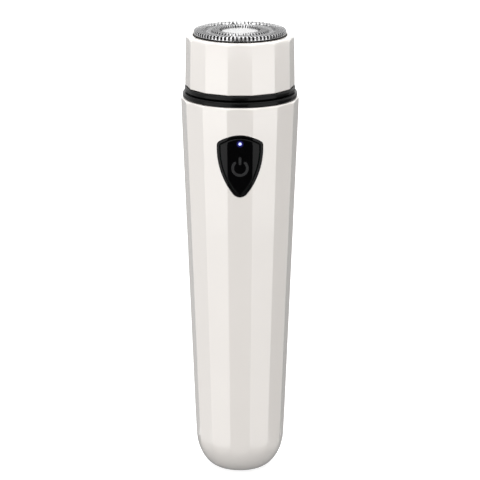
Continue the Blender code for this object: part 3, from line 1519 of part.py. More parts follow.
def blade(inner, outer, angle):
    """One upright blade, leaning into the direction of cut."""
    half = BLADE_THICK / 2
    turn = Matrix.Rotation(math.radians(angle), 4, "Z")
    inner_rim = inner + SEAM
    outer_rim = outer - SEAM
    rings = []
    for z, shift in ((BLADE_LOW - BLADE_BASE / 2, 0.0), (BLADE_TOP, BLADE_LEAN)):
        corners = [
            (inner_rim, shift - half),
            (outer_rim, shift - half),
            (outer_rim, shift + half),
            (inner_rim, shift + half),
        ]
        rings.append([tuple(turn @ Vector((x, y, z))) for x, y in corners])
    return loft("blade", rings, "bright_steel")


# ---------------------------------------------------------------- assembly
def bodies():
    """Each moving body: the empty's place on its joint, the body that carries it, and its pieces."""
    cover_hinge = (0.0, facet_distance(PORT_HEIGHT), PORT_HEIGHT - PORT_RECESS_LENGTH / 2 + RUNNING)
    button_line = (0.0, BUTTON_BACK, ICON_HEIGHT)
    turning = ("motor_shaft", "motor_armature", "motor_commutator", "spindle_hub")
    return {
        "rotor": ((0.0, 0.0, HUB_LOW), "handle", turning),
        "spring": ((0.0, 0.0, HUB_TOP + GAP), "rotor", ("spindle_spring",)),
        "spindle": ((0.0, 0.0, SPINDLE_LOW), "rotor", ("drive_spindle",)),
        "button": (button_line, "handle", ("power_button", "status_lens")),
        "plunger": ((0.0, PLUNGER_FRONT, ICON_HEIGHT), "handle", ("switch_plunger",)),
        "cover": (cover_hinge, "handle", ("port_cover",)),
        "head": ((0.0, 0.0, HEAD_RING_LOW), "handle", ("head_shell", "head_base")),
        "retainer": ((0.0, 0.0, RETAINER_LOW), "head", ("blade_retainer",)),
        "foil": ((0.0, 0.0, FRAME_LOW), "head", ("foil_frame", "shaving_foil", "foil_centre_cap")),
        "cutter": ((0.0, 0.0, CARRIER_LOW), "foil", ("cutter_carrier", "cutter_blades")),
    }


def move_origin(obj, point):
    """Puts the object's origin at a point of the world without moving its shape."""
    obj.data.transform(Matrix.Translation(-Vector(point)))
    obj.location = point


def make_empty(name, point):
    empty = bpy.data.objects.new(name, None)
    bpy.context.scene.collection.objects.link(empty)
    empty.location = point
    return empty


def attach(obj, empty):
    """Parents the object to the empty and keeps it where it is."""
    bpy.context.view_layer.update()
    obj.parent = empty
    obj.matrix_parent_inverse = empty.matrix_world.inverted()


def assemble():
    """Groups the pieces under an empty for each moving body, on that body's joint."""
    pieces = list(bpy.data.objects)
    groups = bodies()
    empties = {"handle": make_empty("handle_body", (0.0, 0.0, 0.0))}
    owners = {}
    for name, (point, parent, members) in groups.items():
        empties[name] = make_empty(f"{name}_body", point)
        attach(empties[name], empties[parent])
        for member in members:
            owners[member] = name
            move_origin(bpy.data.objects[member], point)
    for piece in pieces:
        attach(piece, empties[owners.get(piece.name, "handle")])


def main():
    for obj in list(bpy.data.objects):
        bpy.data.objects.remove(obj)
    make_body_shell()
    make_neck_collar()
    make_seals()
    make_chassis()
    make_screws()
    make_motor()
    make_drive_line()
    make_battery()
    make_control_board()
    make_charging_port()
    make_wires()
    make_button()
    make_head_shell()
    make_head_base()
    make_retainer()
    make_foil_frame()
    make_foil()
    make_cutter()
    assemble()


main()
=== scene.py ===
"""Looks of the rotary shaver: fine surfaces, materials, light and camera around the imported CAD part.

Metres, +Z up, in the part's own frame. Heights and radii that a CAD node's box shows are read from that box.
"""

import json
import math

import bmesh
import bpy
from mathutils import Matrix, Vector


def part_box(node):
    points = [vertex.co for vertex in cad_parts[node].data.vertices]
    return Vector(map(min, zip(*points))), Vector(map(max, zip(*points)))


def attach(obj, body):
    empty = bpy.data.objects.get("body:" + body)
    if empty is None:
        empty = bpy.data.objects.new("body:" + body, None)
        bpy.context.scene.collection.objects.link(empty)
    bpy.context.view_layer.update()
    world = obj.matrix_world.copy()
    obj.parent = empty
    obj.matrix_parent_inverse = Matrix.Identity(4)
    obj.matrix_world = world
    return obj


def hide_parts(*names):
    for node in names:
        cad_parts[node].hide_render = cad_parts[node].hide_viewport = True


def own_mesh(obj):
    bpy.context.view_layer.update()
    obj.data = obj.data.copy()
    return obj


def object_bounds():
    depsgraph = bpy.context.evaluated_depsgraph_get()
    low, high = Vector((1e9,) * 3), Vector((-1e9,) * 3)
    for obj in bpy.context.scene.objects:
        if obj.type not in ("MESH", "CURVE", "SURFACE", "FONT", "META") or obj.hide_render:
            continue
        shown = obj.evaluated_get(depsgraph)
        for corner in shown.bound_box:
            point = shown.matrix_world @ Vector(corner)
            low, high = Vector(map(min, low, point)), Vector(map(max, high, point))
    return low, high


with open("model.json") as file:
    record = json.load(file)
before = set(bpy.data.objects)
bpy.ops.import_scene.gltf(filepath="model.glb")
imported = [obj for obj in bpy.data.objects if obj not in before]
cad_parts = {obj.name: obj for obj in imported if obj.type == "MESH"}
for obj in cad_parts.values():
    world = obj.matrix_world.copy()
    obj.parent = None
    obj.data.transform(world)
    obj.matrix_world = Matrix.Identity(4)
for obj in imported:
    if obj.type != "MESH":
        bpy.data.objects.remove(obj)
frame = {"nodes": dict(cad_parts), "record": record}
CAD_LOW, CAD_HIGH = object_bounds()
MM = 0.001


def low(node, axis=2):
    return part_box(node)[0][axis]


def high(node, axis=2):
    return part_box(node)[1][axis]


# ---- sizes
SEAM = 0.15 * MM
RUNNING = 0.2 * MM
GAP = 0.3 * MM

FACETS = 14
COS_HALF_FACET = math.cos(math.pi / FACETS)
EDGE_ROUND = 0.9 * MM
HANDLE_HEIGHT = high("body_shell")
BODY_TOP_RADIUS = 18.6 * MM
BODY_BASE_RADIUS = 13.8 * MM
FOOT_RADIUS = 6.5 * MM
DOME_HEIGHT = 13.0 * MM
SHELL_WALL = 1.6 * MM
RIM_FILLET = 0.9 * MM

FLANGE_RADIUS = high("neck_collar", 0)
FLANGE_LOW = HANDLE_HEIGHT + SEAM
FLANGE_TOP = FLANGE_LOW + 1.5 * MM
COLLAR_LOW = low("neck_collar")
COLLAR_WALL = 1.3 * MM
SPIGOT_TOP = high("neck_collar")
DECK_WALL = 1.5 * MM
SPIGOT_WALL = 1.9 * MM
RING_ROUND = 0.45 * MM
O_RING_SECTION = 1.0 * MM
O_RING_HEIGHT = (low("neck_o_ring") + high("neck_o_ring")) / 2

HEAD_LOW = low("head_shell")
HEAD_TOP = high("head_shell")
HEAD_TOP_RADIUS = 16.95 * MM
HEAD_LOW_RADIUS = 17.2 * MM
HEAD_WALL = 1.3 * MM
HEAD_LIP = 1.5 * MM
HEAD_FILLET = 1.1 * MM
HEAD_RING_LOW = low("head_base")
HEAD_RING_RADIUS = high("head_base", 0)
HEAD_RING_TOP = HEAD_LOW - SEAM
SKIRT_TOP = high("head_base")
SKIRT_WALL = 0.75 * MM
HEAD_INSIDE = HEAD_TOP_RADIUS * COS_HALF_FACET - HEAD_WALL
SKIRT_OUTER = HEAD_INSIDE - SEAM
SKIRT_INNER = SKIRT_OUTER - SKIRT_WALL
SPIGOT_RADIUS = SKIRT_INNER - GAP

RETAINER_LOW = low("blade_retainer")
RETAINER_TOP = high("blade_retainer")
PLATE_LOW = RETAINER_LOW + 0.8 * MM
TABS = 3
TAB_ANGLE = 14.0
TAB_PLAY = 2.0
TWIST_ANGLE = 25.0

FOIL_RADIUS = high("shaving_foil", 0)
FOIL_TOP = high("shaving_foil")
FOIL_LOW = low("shaving_foil")
FOIL_SHEET = 0.12 * MM
FOIL_DRAFT = 0.35 * MM
FOIL_ROUND = 0.5 * MM
GROOVE_DEPTH = 1.1 * MM
GROOVE_INNER = 9.2 * MM
GROOVE_OUTER = 10.7 * MM
HUB_RECESS_RADIUS = 6.0 * MM
OUTER_SLOTS = 72
INNER_SLOTS = 50
SLOT_SHARE = 0.6
FRAME_RADIUS = FOIL_RADIUS + 0.1 * MM
FRAME_WALL = 0.7 * MM
HEAD_OPENING = FRAME_RADIUS + RUNNING

SPRING_WIRE = 0.28 * MM
SPRING_TURNS = 4

SHIELD_DROP = 8.5 * MM
SHIELD_TOP = HANDLE_HEIGHT - SHIELD_DROP
SHIELD_HALF_WIDTH = 7.2 * MM
SHIELD_HEIGHT = 20.0 * MM
SHIELD_SHOULDER = 4.4 * MM
SHIELD_TOP_ARC = 10.85 * MM
SHIELD_CORNER = 1.5 * MM
SHIELD_TIP = 2.7 * MM
BEZEL_WIDTH = 0.75 * MM
BEZEL_PROUD = 0.1 * MM
BUTTON_PROUD = 0.25 * MM
LENS_HEIGHT = (low("status_lens") + high("status_lens")) / 2
LENS_RADIUS = (high("status_lens", 0) - low("status_lens", 0)) / 2
ICON_HEIGHT = (low("switch_plunger") + high("switch_plunger")) / 2 + 0.2 * MM
ICON_RADIUS = 2.28 * MM
ICON_STROKE = 0.85 * MM
ICON_OPENING = 44.0
ICON_BAR_LOW = 1.0 * MM
ICON_BAR_HIGH = 3.55 * MM

PORT_HEIGHT = (low("usb_socket") + high("usb_socket")) / 2
PORT_RECESS_LENGTH = 13.0 * MM
PORT_RECESS_WIDTH = 6.0 * MM
PORT_RECESS_DEPTH = 1.1 * MM
SOCKET_LENGTH = 8.94 * MM
SOCKET_WIDTH = 3.26 * MM

# ---- fineness
CORNER_STEPS = 6
FLAT_SHARES = (0.06, 0.2, 0.35, 0.5, 0.65, 0.8, 0.94)
DOME_STEPS = 26
ROUND_STEPS = 8
TURN_STEPS = 144
FACE_COLUMNS = 96
OUTLINE_STEPS = 12
EASE = 0.3 * MM
EASE_REACH = 5.0 * MM


# ---- curves
def polar(radius, angle):
    return (radius * math.cos(math.radians(angle)), radius * math.sin(math.radians(angle)))


def shift(point, by):
    return (point[0] + by[0], point[1] + by[1])


def arc(centre, radius, start, end, steps):
    """Points of an arc in a plane, from one angle to another, in degrees."""
    angles = [start + (end - start) * i / steps for i in range(steps + 1)]
    return [shift(centre, polar(radius, angle)) for angle in angles]


def full_circle(centre, radius, steps):
    return arc(centre, radius, 0.0, 360.0 - 360.0 / steps, steps - 1)


def between(a, b, share):
    return tuple(p + (q - p) * share for p, q in zip(a, b))


def eased(corners, closed=True, steps=4):
    """The outline through (x, y, ease) corners, each turned over a length of ease."""
    count = len(corners)
    points = []
    for i, (x, y, ease) in enumerate(corners):
        if ease == 0 or (not closed and i in (0, count - 1)):
            points.append((x, y))
            continue
        here = Vector((x, y))
        sides = []
        for other in (corners[i - 1], corners[(i + 1) % count]):
            way = Vector(other[:2]) - here
            sides.append(here + way.normalized() * min(ease, way.length * 0.49))
        for step in range(steps + 1):
            t = step / steps
            points.append(tuple(sides[0] * (1 - t) ** 2 + here * 2 * t * (1 - t) + sides[1] * t**2))
    return points


def eased_minimum(a, b, ease):
    """The lesser of two lengths, with the change from one to the other rounded off."""
    near = max(ease - abs(a - b), 0.0) / ease
    return min(a, b) - near * near * ease / 4


# ---- meshes
def new_object(name, bm):
    bmesh.ops.remove_doubles(bm, verts=bm.verts, dist=1e-7)
    bmesh.ops.recalc_face_normals(bm, faces=bm.faces)
    mesh = bpy.data.meshes.new(name)
    bm.to_mesh(mesh)
    bm.free()
    obj = bpy.data.objects.new(name, mesh)
    bpy.context.scene.collection.objects.link(obj)
    return obj


def loft(name, rings, looped=False):
    """A solid through rings of points. Its ends are capped, or joined to each other if it is looped."""
    bm = bmesh.new()
    rows = [[bm.verts.new(p) for p in ring] for ring in rings]
    bridge(bm, [*rows, rows[0]] if looped else rows)
    if not looped:
        bm.faces.new(rows[0])
        bm.faces.new(rows[-1])
    return new_object(name, bm)


def bridge(bm, loops):
    for first, second in zip(loops, loops[1:]):
        for i, vertex in enumerate(first):
            j = (i + 1) % len(first)
            bm.faces.new((vertex, first[j], second[j], second[i]))


def turned(name, profile, steps=TURN_STEPS, centre=(0.0, 0.0), solid=False):
    """A turned piece from (radius, height) points. A solid one runs from its lower end to its upper end."""
    rings = [[(*point, z) for point in full_circle(centre, radius, steps)] for radius, z in profile]
    return loft(name, rings, looped=not solid)


def turned_band(name, inner, outer, bottom, top, soft, foot, steps=TURN_STEPS):
    """A turned band with softened edges. Its lower outer edge is eased over foot."""
    corners = [(inner, bottom, soft), (outer, bottom, foot), (outer, top, soft), (inner, top, soft)]
    return turned(name, eased(corners), steps)


def prism_along_y(name, outline, start, end):
    return loft(name, [[(x, y, z) for x, z in outline] for y in (start, end)])


def prism_upwards(name, outline, bottom, top):
    return loft(name, [[(x, y, z) for x, y in outline] for z in (bottom, top)])


def combine(obj, other, operation):
    """Applies a Boolean of the other object to this one, and removes the other."""
    modifier = obj.modifiers.new(operation.title(), "BOOLEAN")
    modifier.operation = operation
    modifier.solver = "EXACT"
    modifier.object = other
    apply_modifiers(obj)
    bpy.data.objects.remove(other)


def apply_modifiers(obj):
    graph = bpy.context.evaluated_depsgraph_get()
    mesh = bpy.data.meshes.new_from_object(obj.evaluated_get(graph))
    obj.modifiers.clear()
    obj.data = mesh


def dress(obj, look, body, *replaced, sharp=38.0):
    """Shades the piece, gives it its material and its body, and hides the CAD nodes it stands for."""
    obj.data.materials.clear()
    obj.data.materials.append(look.material)
    obj.data.shade_smooth()
    obj.data.set_sharp_from_angle(angle=math.radians(sharp))
    weighted = obj.modifiers.new("Normals", "WEIGHTED_NORMAL")
    weighted.keep_sharp = True
    weighted.weight = 80
    apply_modifiers(obj)
    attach(obj, body)
    if replaced:
        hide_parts(*replaced)
    return obj


# ---- faceted forms
def body_radius(z):
    """Corner radius of the handle's facets at height z."""
    return BODY_BASE_RADIUS + (BODY_TOP_RADIUS - BODY_BASE_RADIUS) * z / HANDLE_HEIGHT


def head_radius(z):
    return HEAD_LOW_RADIUS + (HEAD_TOP_RADIUS - HEAD_LOW_RADIUS) * (z - HEAD_LOW) / (HEAD_TOP - HEAD_LOW)


def facet_ring(radius, z, limit=None, offset=0.0):
    """A ring of the faceted section, an arc at each corner and points along each flat, eased to the limit."""
    flat = radius * COS_HALF_FACET + offset
    round_centre = (flat - EDGE_ROUND) / COS_HALF_FACET
    half = 180.0 / FACETS
    ring = []
    for corner in range(FACETS):
        middle = -90.0 + half + corner * 2 * half
        turn = arc(polar(round_centre, middle), EDGE_ROUND, middle - half, middle + half, CORNER_STEPS)
        after = shift(polar(round_centre, middle + 2 * half), polar(EDGE_ROUND, middle + half))
        ring += turn + [between(turn[-1], after, share) for share in FLAT_SHARES]
    if limit is None:
        return [(x, y, z) for x, y in ring]
    shrunk = []
    for x, y in ring:
        reach = math.hypot(x, y)
        share = eased_minimum(reach, limit, EASE) / reach
        shrunk.append((x * share, y * share, z))
    return shrunk


def round_ring(radius, z):
    """A circle with a point in the direction of each point of a facet ring."""
    ring = []
    for x, y, _ in facet_ring(BODY_TOP_RADIUS, z):
        share = radius / math.hypot(x, y)
        ring.append((x * share, y * share, z))
    return ring


def room(distance):
    """How far a round limit stands off the facets at this distance from where it begins."""
    return EASE * (distance / EASE_REACH) ** 2


def dome_limit(z):
    """Radius of the dome at height z: a quarter ellipse from the foot's edge up to the facets' corners."""
    if z > DOME_HEIGHT:
        return body_radius(z) + room(z - DOME_HEIGHT)
    share = 1.0 - z / DOME_HEIGHT
    reach = body_radius(DOME_HEIGHT) - FOOT_RADIUS
    return FOOT_RADIUS + reach * math.sqrt(max(0.0, 1.0 - share * share))


def fillet_limit(z, top, radius, fillet):
    """Radius left at height z by a fillet on a top edge."""
    rise = z - (top - fillet)
    if rise < 0:
        return radius + room(rise)
    return radius - fillet + math.sqrt(max(0.0, fillet * fillet - rise * rise))


def quarter(steps):
    """Angles in radians over a quarter turn."""
    return [math.radians(90.0 * i / steps) for i in range(steps + 1)]


def fillet_heights(top, fillet):
    return [top - fillet * (1.0 - math.sin(a)) for a in quarter(ROUND_STEPS)]


def spread(start, end, count):
    """Heights spread evenly between two others, leaving both out."""
    return [start + (end - start) * i / (count + 1) for i in range(1, count + 1)]


# ---- shield of the button
def circles_meet(a, a_radius, b, b_radius):
    """The right-hand point where two circles cross."""
    span = math.dist(a, b)
    along = (span**2 + a_radius**2 - b_radius**2) / (2 * span)
    across = math.sqrt(a_radius**2 - along**2)
    ux, uz = (b[0] - a[0]) / span, (b[1] - a[1]) / span
    return max((a[0] + along * ux + s * across * uz, a[1] + along * uz - s * across * ux) for s in (1, -1))


def bearing(start, end):
    return math.degrees(math.atan2(end[1] - start[1], end[0] - start[0]))


def half_shield(inset):
    """The right half of the shield in the XZ plane, from its top to its tip."""
    top_centre = (0.0, SHIELD_TOP - SHIELD_TOP_ARC)
    drop = SHIELD_HEIGHT - SHIELD_SHOULDER - SHIELD_TIP
    side_arc = (SHIELD_HALF_WIDTH**2 + drop**2 - SHIELD_TIP**2) / (2 * (SHIELD_HALF_WIDTH - SHIELD_TIP))
    side_centre = (SHIELD_HALF_WIDTH - side_arc, SHIELD_TOP - SHIELD_SHOULDER)
    tip_centre = (0.0, SHIELD_TOP - SHIELD_HEIGHT + SHIELD_TIP)
    corner = circles_meet(top_centre, SHIELD_TOP_ARC - SHIELD_CORNER, side_centre, side_arc - SHIELD_CORNER)
    top_angle = bearing(top_centre, corner)
    side_angle = bearing(side_centre, corner)
    tip_angle = bearing(side_centre, tip_centre)
    steps = OUTLINE_STEPS
    return [
        *arc(top_centre, SHIELD_TOP_ARC - inset, 90.0, top_angle, steps),
        *arc(corner, SHIELD_CORNER - inset, top_angle, side_angle, steps)[1:],
        *arc(side_centre, side_arc - inset, side_angle, tip_angle, 2 * steps)[1:],
        *arc(tip_centre, SHIELD_TIP - inset, tip_angle, -90.0, steps)[1:],
    ]


def shield(inset):
    right = half_shield(inset)
    return right + [(-x, z) for x, z in reversed(right[1:-1])]


def front_of_body(x, z):
    """How far forwards the handle's faceted surface lies at x and z, near the middle of its front."""
    flat = body_radius(z) * COS_HALF_FACET
    half = math.pi / FACETS
    round_centre = (flat - EDGE_ROUND) / COS_HALF_FACET
    across = abs(x) - round_centre * math.sin(half)
    if across <= 0:
        return flat
    if across < EDGE_ROUND * math.sin(2 * half):
        return round_centre * math.cos(half) + math.sqrt(EDGE_ROUND**2 - across**2)
    return (flat - abs(x) * math.sin(2 * half)) / math.cos(2 * half)


def on_body(outline, proud):
    """An (x, z) outline laid on the handle's front and raised from it."""
    return [(x, -front_of_body(x, z) - proud, z) for x, z in outline]


def edge_profile(radius, steps=4):
    """(inset, drop) pairs that round an edge over, from its side to its face."""
    return [(radius * (1 - math.sin(a)), radius * (1 - math.cos(a))) for a in reversed(quarter(steps))]


def stadium(length, width, centre_z):
    """An upright slot with round ends, in the XZ plane."""
    reach = (length - width) / 2
    return [
        *arc((0.0, centre_z + reach), width / 2, 0.0, 180.0, OUTLINE_STEPS),
        *arc((0.0, centre_z - reach), width / 2, 180.0, 360.0, OUTLINE_STEPS),
    ]


# ---- material nodes
def set_range(node, start, end, low_value, high_value):
    for key, value in zip(("From Min", "From Max", "To Min", "To Max"), (start, end, low_value, high_value)):
        node.inputs[key].default_value = value


class Surface:
    """A Principled material whose patterns are built one at a time."""

    def __init__(self, name, colour, roughness, metallic=0.0, slot=None, **sockets):
        self.material = bpy.data.materials.new(name)
        self.slot = slot or name
        self.material.use_nodes = True
        self.nodes = self.material.node_tree.nodes
        self.links = self.material.node_tree.links
        self.shader = self.nodes["Principled BSDF"]
        self.colour = colour
        self.roughness = roughness
        self.set("Base Color", (*colour, 1.0))
        self.set("Roughness", roughness)
        self.set("Metallic", metallic)
        for socket, value in sockets.items():
            self.set(socket.replace("_", " ").title().replace("Ior", "IOR"), value)
        self.place = self.nodes.new("ShaderNodeTexCoord").outputs["Object"]

    def set(self, socket, value):
        self.shader.inputs[socket].default_value = value

    def node(self, kind, **settings):
        made = self.nodes.new("ShaderNode" + kind)
        for key, value in settings.items():
            setattr(made, key, value)
        return made

    def join(self, source, target):
        self.links.new(source, target)

    def noise(self, scale, detail=2.0, stretch=(1.0, 1.0, 1.0)):
        """Noise with features of about 1/scale metres, stretched along the axes."""
        mapping = self.node("Mapping")
        mapping.inputs["Scale"].default_value = stretch
        self.join(self.place, mapping.inputs["Vector"])
        made = self.node("TexNoise")
        made.inputs["Scale"].default_value = scale
        made.inputs["Detail"].default_value = detail
        self.join(mapping.outputs[0], made.inputs["Vector"])
        return made.outputs["Fac"]

    def distance(self, centre, axes):
        """Distance from a centre, along the axes that are marked 1."""
        offset = self.node("VectorMath", operation="SUBTRACT")
        offset.inputs[1].default_value = centre
        self.join(self.place, offset.inputs[0])
        flat = self.node("VectorMath", operation="MULTIPLY")
        flat.inputs[1].default_value = axes
        self.join(offset.outputs[0], flat.inputs[0])
        length = self.node("VectorMath", operation="LENGTH")
        self.join(flat.outputs[0], length.inputs[0])
        return length.outputs["Value"]

    def rings(self, scale):
        """Noise that changes only with the distance from the Z axis, as turning marks do."""
        made = self.node("TexNoise", noise_dimensions="1D")
        made.inputs["Scale"].default_value = scale
        made.inputs["Detail"].default_value = 3.0
        self.join(self.distance((0.0, 0.0, 0.0), (1.0, 1.0, 0.0)), made.inputs["W"])
        return made.outputs["Fac"]

    def span(self, source, low_value, high_value, start=0.3, end=0.7):
        """Maps a pattern from start..end to low_value..high_value."""
        made = self.node("MapRange")
        set_range(made, start, end, low_value, high_value)
        self.join(source, made.inputs["Value"])
        return made.outputs["Result"]

    def blend(self, share, a, b):
        """Mixes two colours by a pattern. The node's colours are inputs 6 and 7 and output 2."""
        made = self.node("Mix", data_type="RGBA")
        self.join(share, made.inputs["Factor"])
        made.inputs[6].default_value = (*a, 1.0)
        made.inputs[7].default_value = (*b, 1.0)
        return made.outputs[2]

    def tint(self, source, other, start=0.3, end=0.7):
        """Varies the colour between the base colour and another by a pattern."""
        share = self.span(source, 0.0, 1.0, start, end)
        self.join(self.blend(share, self.colour, other), self.shader.inputs["Base Color"])

    def polish(self, source, by):
        """Varies the roughness either side of its value by a pattern."""
        result = self.span(source, self.roughness - by, self.roughness + by)
        self.join(result, self.shader.inputs["Roughness"])

    def relief(self, source, depth):
        """Raises the surface by a pattern, depth metres high."""
        made = self.node("Bump")
        made.inputs["Strength"].default_value = 1.0
        made.inputs["Distance"].default_value = depth
        self.join(source, made.inputs["Height"])
        self.join(made.outputs["Normal"], self.shader.inputs["Normal"])


def lighter(colour, share):
    return tuple(min(1.0, c * share) for c in colour)


def gloss_plastic(name, colour, roughness, coat, specular=0.5):
    """Polished moulding: a faint orange peel, fine hairlines and a slightly uneven shine."""
    gloss = {"coat_weight": coat, "coat_roughness": 0.06, "specular_ior_level": specular}
    made = Surface(name, colour, roughness, **gloss)
    made.tint(made.noise(45.0, 3.0), lighter(colour, 0.975))
    made.polish(made.noise(700.0, 4.0), 0.035)
    made.relief(made.noise(1100.0, 1.0), 0.0016 * MM)
    return made


def satin_plastic(name, colour, roughness, grain=0.006, specular=0.5):
    """Spark-eroded moulding: an even fine grain."""
    made = Surface(name, colour, roughness, specular_ior_level=specular)
    made.tint(made.noise(300.0, 3.0), lighter(colour, 1.25))
    made.polish(made.noise(1500.0, 3.0), 0.07)
    made.relief(made.noise(5200.0, 2.0), grain * MM)
    return made


def brushed_metal(name, colour, roughness, stretch):
    """Drawn or brushed metal, with its marks along the axis that is stretched least."""
    made = Surface(name, colour, roughness, 1.0, anisotropic=0.4)
    marks = made.noise(2600.0, 3.0, stretch)
    made.tint(marks, lighter(colour, 0.82))
    made.polish(marks, 0.07)
    made.relief(marks, 0.0022 * MM)
    return made


def turned_metal(name, colour, roughness):
    """Metal with fine rings left by turning."""
    made = Surface(name, colour, roughness, 1.0, anisotropic=0.3)
    marks = made.rings(5200.0)
    made.tint(marks, lighter(colour, 0.86))
    made.polish(marks, 0.05)
    made.relief(marks, 0.002 * MM)
    return made


def rubber(name, colour, roughness):
    made = Surface(name, colour, roughness, sheen_weight=0.15, sheen_roughness=0.5)
    made.tint(made.noise(500.0, 4.0), lighter(colour, 1.5))
    made.polish(made.noise(1800.0, 3.0), 0.08)
    made.relief(made.noise(3800.0, 3.0), 0.008 * MM)
    return made


def board_laminate(name, colour):
    """Solder mask over woven glass, with copper traces showing as raised paler bands."""
    made = Surface(name, colour, 0.38, coat_weight=0.5, coat_roughness=0.2)
    traces = made.node("TexBrick", offset=0.37)
    traces.inputs["Scale"].default_value = 420.0
    traces.inputs["Mortar Size"].default_value = 0.06
    turned_place = made.node("Mapping")
    turned_place.inputs["Rotation"].default_value = (math.radians(90), 0.0, 0.0)
    made.join(made.place, turned_place.inputs["Vector"])
    made.join(turned_place.outputs[0], traces.inputs["Vector"])
    made.tint(traces.outputs["Fac"], lighter(colour, 1.9), 0.0, 1.0)
    made.polish(made.noise(900.0, 3.0), 0.08)
    made.relief(traces.outputs["Fac"], 0.02 * MM)
    return made


def sleeve(name, colour):
    """Shrink sleeve of a cell: glossy film with slack creases near its ends."""
    made = Surface(name, colour, 0.3, coat_weight=0.6, coat_roughness=0.1)
    creases = made.noise(260.0, 3.0, (3.0, 3.0, 0.35))
    made.tint(made.noise(60.0, 2.0), lighter(colour, 1.35))
    made.polish(creases, 0.06)
    made.relief(creases, 0.03 * MM)
    return made


def window_glow(surface, start, end, dark, bright):
    """Emission that fades from the middle of the status light's window, between two shares of its radius."""
    distance = surface.distance((0.0, 0.0, LENS_HEIGHT), (1.0, 0.0, 1.0))
    share = surface.span(distance, 1.0, 0.0, start * LENS_RADIUS, end * LENS_RADIUS)
    surface.join(surface.blend(share, dark, bright), surface.shader.inputs["Emission Color"])


def clear_lens(name):
    """Light-guide resin, lit from behind by the status light: brightest at its middle."""
    made = Surface(name, (0.75, 0.85, 1.0), 0.12, ior=1.49, emission_strength=0.9)
    window_glow(made, 0.1, 0.8, (0.04, 0.05, 0.75), (0.62, 0.72, 1.0))
    made.polish(made.noise(2500.0, 2.0), 0.04)
    return made


BLACK = (0.0, 0.0, 0.0)
GLOW = (1.0, 1.0, 1.0, 1.0)
WHITE = (0.87, 0.83, 0.79)
SURFACES = (
    gloss_plastic("white_gloss", WHITE, 0.2, 1.0),
    gloss_plastic("black_gloss", (0.002, 0.002, 0.0023), 0.14, 0.0, 0.17),
    satin_plastic("black_matte", (0.003, 0.003, 0.003), 0.2, 0.0012, 0.13),
    satin_plastic("grey_plastic", (0.3, 0.31, 0.32), 0.5),
    satin_plastic("white_nylon", (0.78, 0.77, 0.72), 0.42),
    satin_plastic("magnet", (0.07, 0.07, 0.078), 0.55, 0.02),
    satin_plastic("wire_red", (0.55, 0.02, 0.02), 0.38),
    satin_plastic("wire_black", (0.018, 0.018, 0.018), 0.38),
    satin_plastic("silicone_white", (0.8, 0.77, 0.74), 0.5, 0.004),
    turned_metal("steel", (0.6, 0.61, 0.62), 0.28),
    turned_metal("bright_steel", (0.86, 0.86, 0.86), 0.2),
    brushed_metal("copper", (0.75, 0.38, 0.2), 0.32, (1.0, 1.0, 4.0)),
    brushed_metal("nickel", (0.72, 0.7, 0.64), 0.3, (4.0, 0.5, 4.0)),
    rubber("rubber", (0.02, 0.02, 0.02), 0.7),
    board_laminate("board_green", (0.015, 0.17, 0.075)),
    sleeve("battery_sleeve", (0.04, 0.19, 0.46)),
    clear_lens("lens"),
)
surfaces = {made.slot: made for made in SURFACES}


def icon_ink():
    """Pad-printed grey of the power symbol."""
    made = Surface("icon_ink", (0.017, 0.017, 0.018), 0.32, slot="black_gloss")
    made.tint(made.noise(1600.0, 3.0), (0.022, 0.022, 0.023))
    made.polish(made.noise(2400.0, 2.0), 0.06)
    made.relief(made.noise(4200.0, 2.0), 0.002 * MM)
    return made


def blade_steel_painted_shade():
    """Hardened cutter blades, their steel painted dark as the shade inside the head that shows through the
    foil's slots.
    """
    made = Surface("blade_steel_painted_shade", (0.12, 0.12, 0.125), 0.38, 1.0, slot="bright_steel")
    made.tint(made.noise(2200.0, 3.0, (1.0, 1.0, 0.2)), (0.09, 0.09, 0.095))
    made.polish(made.noise(1500.0, 3.0), 0.08)
    made.relief(made.noise(4200.0, 2.0), 0.002 * MM)
    return made


def light_spill(surface):
    """A faint blue glow that the status light leaves in the dark plastic round its window."""
    window_glow(surface, 0.8, 2.3, BLACK, (0.035, 0.03, 0.24))
    surface.set("Emission Strength", 1.0)


def foil_steel():
    """Etched nickel foil: bright, with a faint rotary polish and a soft matt tooth."""
    made = Surface("foil_steel", (0.6, 0.6, 0.605), 0.22, 1.0, slot="steel")
    made.tint(made.noise(1400.0, 4.0), (0.5, 0.5, 0.505))
    made.polish(made.rings(6500.0), 0.06)
    made.relief(made.noise(3500.0, 3.0), 0.0025 * MM)
    return made


